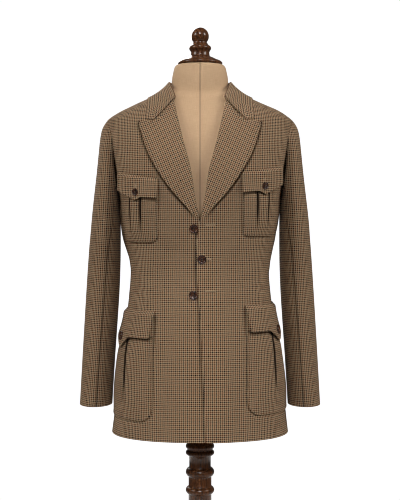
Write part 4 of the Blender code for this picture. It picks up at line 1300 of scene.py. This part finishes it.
def build_button(name, side, girth, z, lift, radius):
    """A horn button on the cloth, and the thread through its holes in two pairs of bars."""
    origin, right, up, facing = on_cloth(side, girth, z, lift + SEAM_GAP)
    turned_to = np.array((right, up, facing))
    points = origin + button_points(radius) @ turned_to
    piece(f"horn_{name}", grid_mesh(name, points, around=True, merge=True), horn, "horn", name)
    span = np.linspace(-1, 1, 9)
    bars = []
    hole = HOLE_AT * radius * math.sqrt(0.5)
    thick = BUTTON_THICKNESS * radius
    for row in (-1, 1):
        for strand in (-1, 1):
            path = np.stack([
                span * hole,
                row * hole + strand * THREAD_R + 0 * span,
                BUTTON_SHANK + thick * BUTTON_FACE[0][1] + THREAD_R * (1.2 - 3.2 * span**4),
            ], axis=-1)
            path = origin + path @ turned_to
            bar = tube(path, np.broadcast_to(facing, path.shape), THREAD_R, THREAD_SIDES)
            bars.append(tube_part(bar, closed=False))
    piece(f"thread_{name}", quad_mesh(name, *join(bars)), sewing_thread, "tweed")


def build_buttons():
    """Three buttons on the fronts, and one on each flap."""
    for name, (side, x, z) in FRONT_BUTTONS.items():
        girth = girth_at(angle_at_x(x, z), z)
        build_button(f"button_front_{name}", side, girth, z, front_lift(side, x, z), FRONT_BUTTON_R)
    for side in SIDES:
        for spot, (girth, height, radius) in FLAP_BUTTONS.items():
            z = height + rise_of(side)
            build_button(f"button_{spot}_{side}", side, girth, z, FLAP_LIFT + CLOTH, radius)


def buttonhole_part(side, girth, z, length, upright, lift):
    """A worked buttonhole: a cord of thread laid in a long narrow round on the cloth."""
    turn = np.linspace(0, 2 * math.pi, HOLE_POINTS, endpoint=False)
    long = np.sign(np.cos(turn)) * (length / 2 - HOLE_HALF) + HOLE_HALF * np.cos(turn)
    short = HOLE_HALF * np.sin(turn)
    across, rise = (short, long) if upright else (long, short)
    height = z + rise
    angle = angle_at_girth(girth + across, height)
    points, facing = place(side, angle, height, 0 * height + lift + 0.4 * HOLE_CORD_R)
    return tube_part(tube(points, facing, HOLE_CORD_R, THREAD_SIDES, closed=True), closed=True)


def build_buttonholes():
    """Three level holes on the left front, and an upright one on each flap."""
    parts = []
    for x, z in FRONT_HOLES:
        girth = girth_at(angle_at_x(x, z), z)
        parts.append(buttonhole_part("left", girth, z, FRONT_HOLE_LENGTH, False, OVERLAP_LIFT))
    for side in SIDES:
        for girth, height, radius in FLAP_BUTTONS.values():
            z = height + rise_of(side) + FLAP_HOLE_RISE * radius
            parts.append(buttonhole_part(side, girth, z, FLAP_HOLE_LENGTH, True, FLAP_LIFT + CLOTH))
    piece("buttonholes", quad_mesh("buttonholes", *join(parts)), buttonhole_thread, "tweed")


def round_three_sides(ends, level, inset, rise):
    """Lines along one end, the foot and the other end of a pocket or flap, as pairs of across and v."""
    return (0 * ends - 1 + inset, ends), (level, 0 * level + rise), (0 * ends + 1 - inset, ends)


def build_stitches(side):
    """Rows of stitches a little in from the edges of the lapel, front, pockets and flaps."""
    paths = []
    v = np.linspace(0.03, 0.985, 120)
    x, z = lapel_face(side, 0 * v + 1, v)
    x_roll, _ = lapel_face(side, 0 * v, v)
    u = 1 - STITCH_INSET / np.maximum(x - x_roll, 3 * STITCH_INSET)
    x, z = lapel_face(side, u, v)
    paths.append(place(side, angle_at_x(x, z), z, lapel_lift(side, x, z, u, v)))
    u = np.linspace(GORGE_TURN + 0.06, 0.96, 40)
    x, z = lapel_face(side, u, 0 * u + 0.975)
    paths.append(place(side, angle_at_x(x, z), z, lapel_lift(side, x, z, u, 0 * u + 0.975)))
    z = np.linspace(HEM_Z + 0.004, BREAK_Z + 0.004, 160)
    x = edge_x(side, z) + STITCH_INSET
    paths.append(place(side, angle_at_x(x, z), z, front_lift(side, x, z)))
    for size in (CHEST, HIP):
        inset = STITCH_INSET / size["half_width"]
        rise = STITCH_INSET / (size["top"] - size["bottom"])
        down = np.linspace(0.98, 1.2 * size["corner"] / (size["top"] - size["bottom"]), 60)
        level = np.linspace(-1 + 1.2 * inset, 1 - 1.2 * inset, 90)
        for across, rows in round_three_sides(down, level, inset, rise):
            angle, z, girth = pocket_point(side, size, across, rows)
            paths.append(place(side, angle, z, pocket_lift(side, size, girth, across, rows)))
    for size in (CHEST_FLAP, HIP_FLAP):
        inset = STITCH_INSET / size["top_half"]
        rise = STITCH_INSET / (size["top"] - size["foot"]["z"][0])
        ends, level = np.linspace(0.95, rise, 24), np.linspace(-1 + inset, 1 - inset, 90)
        for across, rows in round_three_sides(ends, level, inset, rise):
            angle, z = flap_point(side, size, across, rows)
            paths.append(place(side, angle, z, flap_lift(across, rows)))
    parts = [stitch_parts(path, facing, STITCH_PITCH, STITCH_LENGTH, STITCH_R) for path, facing in paths]
    piece(f"stitches_{side}", quad_mesh(f"stitches_{side}", *join(parts)), sewing_thread, "tweed")


def build_form():
    """The dress form: a closed skin through its sections, with a pressed seam down its front and back."""
    z = np.concatenate([
        np.linspace(FORM[0][0], FORM_FINE_Z[0], FORM_ROWS[0]),
        np.linspace(FORM_FINE_Z[1], FORM[-1][0], FORM_ROWS[1]),
    ])
    turn = np.linspace(-math.pi, math.pi, FORM_COLUMNS)
    angle, height = grid(turn, z)
    skin = trunk(angle, height, FORM_AT)
    from_front = np.abs(angle) * np.linalg.norm(skin[..., :2], axis=-1)
    from_back = (math.pi - np.abs(angle)) * np.linalg.norm(skin[..., :2], axis=-1)
    facing = unit(skin * (1, 1, 0))
    seams = hump(from_front, FORM_SEAM_SOFT) + hump(from_back, FORM_SEAM_SOFT)
    skin = skin - FORM_SEAM_DIP * seams[..., None] * facing
    shrink = np.array(FORM_RINGS)[:, None, None]
    foot = skin[:1] * (1, 1, 0) * shrink + (0, 0, FORM[0][0])
    head = skin[-1:] * (1, 1, 0) * shrink[::-1] + (0, 0, FORM[-1][0])
    points = np.concatenate([foot, skin, head])
    around = angle * np.linalg.norm(skin[..., :2], axis=-1)
    around = np.concatenate([around[:1] * shrink[..., 0], around, around[-1:] * shrink[::-1, :, 0]])
    up, middle = runs(points, 0), FORM_COLUMNS // 2
    weave = np.stack([around, np.broadcast_to(up[:, middle, None], up.shape)], axis=-1)
    mesh = grid_mesh("dress_form", points, unit(points - FORM_MIDDLE), weave, merge=True)
    piece("linen_form", mesh, linen, "linen", "dress_form")


def smooth_profile(profile, count):
    """Points of a smooth curve through a profile's points."""
    r, z = np.array(profile).T
    run = np.arange(len(r), dtype=float)
    fine = np.linspace(0, len(r) - 1, count)
    return list(zip(through(run, r, fine), through(run, z, fine)))


def build_stand():
    """The cap on the form's neck, the pole under the form, and the base."""
    neck_top = FORM[-1][0] + SEAM_GAP
    cap = [(0, BALL_Z + BALL_R)]
    cap += arc(0, BALL_Z, BALL_R, 89, -41, 40)
    cap += arc(*CAP_BEAD, 80, -50, 12)
    cap += smooth_profile(CAP_SLOPE, 24)
    cap += [(CAP_FOOT_R, neck_top), (0, neck_top)]
    piece("wood_cap", lathe("neck_cap", cap), wood, "wood", "neck_cap")
    form_foot = FORM[0][0] - SEAM_GAP
    pole_foot = BASE_H + SEAM_GAP
    pole = [(0, form_foot), (POLE_R, form_foot)]
    above = POLE_R
    for z, radius, reach, below in POLE_BEADS:
        if z + radius + BEAD_NECK < pole[-1][1]:
            pole += [(above, z + radius + BEAD_NECK)]
        pole += arc(reach - radius, z, radius, BEAD_TURN, -BEAD_TURN, 14)
        pole += [(below, z - radius - BEAD_NECK)]
        above = below
    pole += [(above, pole_foot), (0, pole_foot)]
    piece("wood_pole", lathe("stand_pole", pole), wood, "wood", "stand_pole")
    base = [(0, BASE_H), *smooth_profile(BASE_SLOPE, 30)]
    base += arc(*BASE_EDGE, 75, -20, 16)
    base += [(BASE_FOOT_R, 0), (0, 0)]
    piece("wood_base", lathe("stand_base", base, 128), wood, "wood", "stand_base")


def wire(tree, socket, value):
    """Give an input a value, or link it from another node's output."""
    if isinstance(value, bpy.types.NodeSocket):
        tree.links.new(value, socket)
    else:
        socket.default_value = value


def add_node(tree, kind, inputs=(), **settings):
    """A node with its settings, and its inputs by place or by name."""
    node = tree.nodes.new(kind)
    for name, value in settings.items():
        setattr(node, name, value)
    named_inputs = inputs.items() if isinstance(inputs, dict) else enumerate(inputs)
    for key, value in named_inputs:
        wire(tree, node.inputs[key], value)
    return node


def maths(tree, operation, *values):
    """The output of a sum on values or sockets."""
    return add_node(tree, "ShaderNodeMath", values, operation=operation).outputs[0]


def mixed(tree, share, one, other, way="MIX"):
    """A colour between two, or one colour worked on another."""
    node = add_node(tree, "ShaderNodeMix", data_type="RGBA", blend_type=way)
    for socket, value in zip((node.inputs[0], node.inputs[6], node.inputs[7]), (share, one, other)):
        wire(tree, socket, value)
    return node.outputs[2]


def noise(tree, vector, scale, detail=2.0, roughness=0.5):
    """Smooth noise from 0 to 1."""
    return add_node(
        tree,
        "ShaderNodeTexNoise",
        {"Vector": vector, "Scale": scale, "Detail": detail, "Roughness": roughness},
    ).outputs[0]


def new_group(name, inputs, outputs):
    """An empty node group with these sockets, and its input and output nodes."""
    group = bpy.data.node_groups.new(name, "ShaderNodeTree")
    for label, kind in inputs:
        group.interface.new_socket(label, in_out="INPUT", socket_type=kind)
    for label, kind in outputs:
        group.interface.new_socket(label, in_out="OUTPUT", socket_type=kind)
    return group, group.nodes.new("NodeGroupInput"), group.nodes.new("NodeGroupOutput")


def threads_group():
    """Woven threads: which of warp and weft lies on top, and the height of the thread on top.

    Across and Up count threads. The warp is on top for half of each Cycle of threads, and a cycle starts
    one thread further on in each row.
    """
    group, given, made = new_group(
        "woven_threads",
        (("Across", "NodeSocketFloat"), ("Up", "NodeSocketFloat"), ("Cycle", "NodeSocketFloat")),
        (("Warp on top", "NodeSocketFloat"), ("Height", "NodeSocketFloat")),
    )
    across, up, cycle = given.outputs["Across"], given.outputs["Up"], given.outputs["Cycle"]
    count = maths(group, "ADD", maths(group, "FLOOR", across), maths(group, "FLOOR", up))
    place_in = maths(group, "FLOORED_MODULO", count, cycle)
    on_top = maths(group, "LESS_THAN", place_in, maths(group, "MULTIPLY", cycle, 0.5))
    profiles = []
    for way in (across, up):
        off = maths(group, "MULTIPLY_ADD", maths(group, "FRACT", way), 2.0, -1.0)
        profiles.append(maths(group, "SUBTRACT", 1.0, maths(group, "MULTIPLY", off, off)))
    warp_part = maths(group, "MULTIPLY", profiles[0], on_top)
    weft_part = maths(group, "MULTIPLY", profiles[1], maths(group, "SUBTRACT", 1.0, on_top))
    group.links.new(on_top, made.inputs["Warp on top"])
    group.links.new(maths(group, "ADD", warp_part, weft_part), made.inputs["Height"])
    return group


def uneven_group():
    """A value about 1 that changes slowly over the surface, and with finer flecks in it."""
    group, given, made = new_group(
        "uneven",
        (
            ("Vector", "NodeSocketVector"),
            ("Slow Scale", "NodeSocketFloat"),
            ("Fine Scale", "NodeSocketFloat"),
            ("Slow Depth", "NodeSocketFloat"),
            ("Fine Depth", "NodeSocketFloat"),
        ),
        (("Value", "NodeSocketFloat"),),
    )
    total = None
    for pace in ("Slow", "Fine"):
        spread = noise(group, given.outputs["Vector"], given.outputs[f"{pace} Scale"], 3.0)
        centred = maths(group, "SUBTRACT", spread, 0.5)
        part = maths(group, "MULTIPLY", centred, given.outputs[f"{pace} Depth"])
        total = part if total is None else maths(group, "ADD", total, part)
    group.links.new(maths(group, "ADD", total, 1.0), made.inputs["Value"])
    return group


def new_finish(name, **sockets):
    """A material with a Principled shader, and these values on its own sockets."""
    finish = bpy.data.materials.new(name)
    finish.use_nodes = True
    tree = finish.node_tree
    shader = tree.nodes["Principled BSDF"]
    for label, value in sockets.items():
        shader.inputs[label.replace("_", " ")].default_value = value
    return finish, tree, shader


def use_group(tree, group, **inputs):
    """A node group in a tree, with its inputs by name."""
    node = tree.nodes.new("ShaderNodeGroup")
    node.node_tree = group
    for label, value in inputs.items():
        wire(tree, node.inputs[label.replace("_", " ")], value)
    return node


def uneven_colour(tree, uneven, at, colour, scales, depths):
    """A colour made uneven over the surface, and the unevenness, with slow and fine scales and depths."""
    spread = use_group(
        tree,
        uneven,
        Vector=at,
        Slow_Scale=scales[0],
        Fine_Scale=scales[1],
        Slow_Depth=depths[0],
        Fine_Depth=depths[1],
    ).outputs["Value"]
    return mixed(tree, 1.0, colour, spread, "MULTIPLY"), spread


def bumped(tree, shader, height, distance, strength):
    """Give a shader a bumped normal from a height."""
    bump = add_node(tree, "ShaderNodeBump", {"Height": height, "Distance": distance, "Strength": strength})
    tree.links.new(bump.outputs["Normal"], shader.inputs["Normal"])


def weave_coordinates(tree):
    """The cloth's own map, across and up."""
    at = add_node(tree, "ShaderNodeUVMap", uv_map="Weave").outputs[0]
    parts = add_node(tree, "ShaderNodeSeparateXYZ", (at,))
    return at, parts.outputs[0], parts.outputs[1]


def stripe_colour(tree, count):
    """Colour of a thread from its number: four dark, four tan, four rust and four tan."""
    stripe = maths(tree, "FLOORED_MODULO", maths(tree, "FLOOR", maths(tree, "MULTIPLY", count, 0.25)), 4.0)
    dark = maths(tree, "LESS_THAN", stripe, 0.5)
    rust = maths(tree, "COMPARE", stripe, 2.0, 0.5)
    return mixed(tree, rust, mixed(tree, dark, TAN_YARN, DARK_YARN), RUST_YARN)


def tweed_finish(threads, uneven):
    """Woollen twill in a small check of dark, tan and rust stripes both ways, with a soft nap, and painted
    shade where its sheet's mask is set.
    """
    finish, tree, shader = new_finish(
        "check_tweed",
        Specular_IOR_Level=0.12,
        Sheen_Weight=0.05,
        Sheen_Roughness=0.45,
        Sheen_Tint=(0.80, 0.66, 0.50, 1),
    )
    at, across, up = weave_coordinates(tree)
    sway = maths(tree, "MULTIPLY_ADD", noise(tree, at, 70.0, 1.0), YARN_SWAY, -YARN_SWAY / 2)
    across_count = maths(tree, "MULTIPLY", maths(tree, "ADD", across, sway), THREADS / WARP_REPEAT)
    up_count = maths(tree, "MULTIPLY", maths(tree, "ADD", up, sway), THREADS / WEFT_REPEAT)
    woven = use_group(tree, threads, Across=across_count, Up=up_count, Cycle=4.0)
    colour = mixed(
        tree, woven.outputs["Warp on top"], stripe_colour(tree, up_count), stripe_colour(tree, across_count)
    )
    colour, _ = uneven_colour(tree, uneven, at, colour, (9.0, 1500.0), (0.16, 0.55))
    fleck = noise(tree, at, 620.0, 1.0)
    pale = maths(tree, "GREATER_THAN", fleck, 0.735)
    colour = mixed(tree, maths(tree, "MULTIPLY", pale, 0.45), colour, FLECK_YARN)
    # Painted shade: the sheet's mask mixes a dark colour in where shade falls in grooves, under edges, along
    # seams and in the armhole.
    fold = add_node(tree, "ShaderNodeAttribute", attribute_name="PaintedShade").outputs["Fac"]
    colour = mixed(tree, fold, colour, PAINTED_SHADE)
    tree.links.new(colour, shader.inputs["Base Color"])
    rough = maths(tree, "MULTIPLY_ADD", woven.outputs["Height"], -0.10, 0.97)
    tree.links.new(rough, shader.inputs["Roughness"])
    fuzz = maths(tree, "MULTIPLY", noise(tree, at, 2600.0, 2.0), 0.55)
    bumped(tree, shader, maths(tree, "ADD", woven.outputs["Height"], fuzz), 0.00022, 0.55)
    return finish


def linen_finish(threads, uneven):
    """Plain woven linen with thick and thin yarns, and the dark seam down the form's front and back."""
    finish, tree, shader = new_finish(
        "tan_linen",
        Specular_IOR_Level=0.25,
        Sheen_Weight=0.08,
        Sheen_Roughness=0.5,
        Sheen_Tint=(0.9, 0.8, 0.65, 1),
    )
    at, across, up = weave_coordinates(tree)
    woven = use_group(
        tree,
        threads,
        Across=maths(tree, "MULTIPLY", across, 1 / LINEN_THREAD),
        Up=maths(tree, "MULTIPLY", up, 1 / LINEN_THREAD),
        Cycle=2.0,
    )
    slubs = []
    for scale in ((60, 1100, 1), (1100, 60, 1)):
        stretched = add_node(tree, "ShaderNodeMapping", {"Vector": at, "Scale": scale}).outputs[0]
        slubs.append(noise(tree, stretched, 1.0, 2.0))
    slub = mixed(tree, woven.outputs["Warp on top"], slubs[0], slubs[1])
    colour = mixed(tree, slub, LINEN_DEEP, LINEN_PALE)
    colour, _ = uneven_colour(tree, uneven, at, colour, (14.0, 900.0), (0.14, 0.16))
    seam = maths(tree, "LESS_THAN", maths(tree, "ABSOLUTE", across), FORM_SEAM_HALF)
    colour = mixed(tree, maths(tree, "MULTIPLY", seam, 0.85), colour, SEAM_DARK)
    tree.links.new(colour, shader.inputs["Base Color"])
    rough = maths(tree, "MULTIPLY_ADD", woven.outputs["Height"], -0.12, 0.92)
    tree.links.new(rough, shader.inputs["Roughness"])
    bumped(tree, shader, woven.outputs["Height"], 0.00018, 0.5)
    return finish


def horn_finish(uneven):
    """Polished horn: dark brown with redder and paler streaks, and finely scratched."""
    finish, tree, shader = new_finish("brown_horn", Coat_Weight=0.25, Coat_Roughness=0.08, IOR=1.5)
    at = add_node(tree, "ShaderNodeTexCoord").outputs["Object"]
    stretched = add_node(tree, "ShaderNodeMapping", {"Vector": at, "Scale": (1.0, 1.0, 0.35)}).outputs[0]
    streak = noise(tree, stretched, 210.0, 4.0, 0.6)
    ramp = add_node(tree, "ShaderNodeValToRGB", (streak,))
    stops = ramp.color_ramp.elements
    stops[0].position, stops[0].color = 0.34, HORN_DARK
    stops[1].position, stops[1].color = 0.70, HORN_PALE
    middle = stops.new(0.52)
    middle.color = HORN_RED
    colour, spread = uneven_colour(tree, uneven, at, ramp.outputs[0], (60.0, 1800.0), (0.3, 0.2))
    tree.links.new(colour, shader.inputs["Base Color"])
    tree.links.new(maths(tree, "MULTIPLY_ADD", streak, 0.12, 0.14), shader.inputs["Roughness"])
    bumped(tree, shader, spread, 0.00004, 0.25)
    return finish


def wood_finish(uneven):
    """Dark stained, polished hardwood, its grain drawn out along the pole."""
    finish, tree, shader = new_finish("dark_turned_wood", Coat_Weight=0.30, Coat_Roughness=0.10, IOR=1.35)
    at = add_node(tree, "ShaderNodeTexCoord").outputs["Object"]
    stretched = add_node(tree, "ShaderNodeMapping", {"Vector": at, "Scale": (1.0, 1.0, 0.06)}).outputs[0]
    grain = noise(tree, stretched, 240.0, 5.0, 0.62)
    pores = noise(tree, stretched, 1300.0, 2.0)
    ramp = add_node(tree, "ShaderNodeValToRGB", (grain,))
    stops = ramp.color_ramp.elements
    stops[0].position, stops[0].color = 0.34, WOOD_DARK
    stops[1].position, stops[1].color = 0.68, WOOD_RED
    colour, _ = uneven_colour(tree, uneven, at, ramp.outputs[0], (18.0, 420.0), (0.35, 0.2))
    tree.links.new(colour, shader.inputs["Base Color"])
    tree.links.new(maths(tree, "MULTIPLY_ADD", pores, 0.16, 0.20), shader.inputs["Roughness"])
    bumped(tree, shader, maths(tree, "ADD", grain, maths(tree, "MULTIPLY", pores, 0.4)), 0.00010, 0.22)
    return finish


def thread_finish(name, colour, uneven):
    """Twisted sewing thread, with a twist too fine to model in its colour and bump."""
    finish, tree, shader = new_finish(name, Specular_IOR_Level=0.3, Sheen_Weight=0.1)
    at = add_node(tree, "ShaderNodeTexCoord").outputs["Object"]
    colour, spread = uneven_colour(tree, uneven, at, colour, (90.0, 2600.0), (0.25, 0.6))
    tree.links.new(colour, shader.inputs["Base Color"])
    tree.links.new(maths(tree, "MULTIPLY", spread, 0.75), shader.inputs["Roughness"])
    bumped(tree, shader, spread, 0.00008, 0.4)
    return finish


def floor_finish(uneven):
    """A plain pale studio floor."""
    finish, tree, shader = new_finish("pale_floor", Specular_IOR_Level=0.2)
    at = add_node(tree, "ShaderNodeTexCoord").outputs["Object"]
    colour, spread = uneven_colour(tree, uneven, at, FLOOR_COLOUR, (2.0, 60.0), (0.03, 0.02))
    tree.links.new(colour, shader.inputs["Base Color"])
    tree.links.new(maths(tree, "MULTIPLY", spread, 0.8), shader.inputs["Roughness"])
    return finish


def build_floor(finish):
    """A round floor: radius by turn, closed at its middle."""
    floor_mesh = lathe("floor", [(0, FLOOR_Z), *[(r, FLOOR_Z) for r in np.linspace(0.3, FLOOR_R, 12)]], 64)
    made = bpy.data.objects.new("floor", floor_mesh)
    bpy.context.scene.collection.objects.link(made)
    floor_mesh.materials.append(finish)


def add_light(name, place_at, aim, width, height, spread, watts, colour):
    """A soft light box that looks at a point, its beam narrowed to a spread as a honeycomb front does."""
    lamp = bpy.data.lights.new(name, "AREA")
    lamp.shape = "RECTANGLE"
    lamp.size = width
    lamp.size_y = height
    lamp.spread = math.radians(spread)
    lamp.energy = watts
    lamp.color = colour
    made = bpy.data.objects.new(name, lamp)
    bpy.context.scene.collection.objects.link(made)
    made.location = place_at
    made.rotation_euler = (Vector(aim) - Vector(place_at)).to_track_quat("-Z", "Y").to_euler()


def set_world():
    """White behind the object, with a weaker light from all round."""
    world = bpy.data.worlds.new("studio")
    bpy.context.scene.world = world
    world.use_nodes = True
    tree = world.node_tree
    backdrop = tree.nodes["Background"]
    seen = add_node(tree, "ShaderNodeLightPath").outputs["Is Camera Ray"]
    backdrop.inputs["Color"].default_value = (1, 1, 1, 1)
    strength = maths(tree, "MULTIPLY_ADD", seen, BACKDROP - AMBIENT, AMBIENT)
    tree.links.new(strength, backdrop.inputs["Strength"])


def set_camera():
    """A level camera in front, shifted down to the photo's framing."""
    lens = bpy.data.cameras.new("camera")
    lens.sensor_width = 36.0
    lens.lens = lens.sensor_width / 2 / math.tan(FIELD / 2)
    lens.shift_y = CAMERA_SHIFT
    made = bpy.data.objects.new("camera", lens)
    bpy.context.scene.collection.objects.link(made)
    made.location = CAMERA_AT
    made.rotation_euler = (math.pi / 2, 0, 0)
    bpy.context.scene.camera = made


woven_threads = threads_group()
uneven_spread = uneven_group()
tweed = tweed_finish(woven_threads, uneven_spread)
linen = linen_finish(woven_threads, uneven_spread)
horn = horn_finish(uneven_spread)
wood = wood_finish(uneven_spread)
sewing_thread = thread_finish("brown_thread", BROWN_THREAD, uneven_spread)
buttonhole_thread = thread_finish("tan_thread", TAN_THREAD, uneven_spread)

for side_name in SIDES:
    build_front(side_name)
    build_back(side_name)
    build_sleeve(side_name, "top")
    build_sleeve(side_name, "under")
    build_lapel(side_name)
    build_pocket("chest_pocket", side_name, CHEST, CHEST_FLAP, 40, 66)
    build_pocket("hip_pocket", side_name, HIP, HIP_FLAP, 58, 104)
    build_flap("chest_flap", side_name, CHEST_FLAP, 61)
    build_flap("hip_flap", side_name, HIP_FLAP, 91)
    build_stitches(side_name)
build_collar()
build_buttons()
build_buttonholes()
build_form()
build_stand()

build_floor(floor_finish(uneven_spread))
set_world()
set_camera()
for light in LIGHTS:
    add_light(*light)
bpy.context.scene.view_settings.view_transform = "Standard"
bpy.context.scene.cycles.filter_width = PIXEL_WIDTH
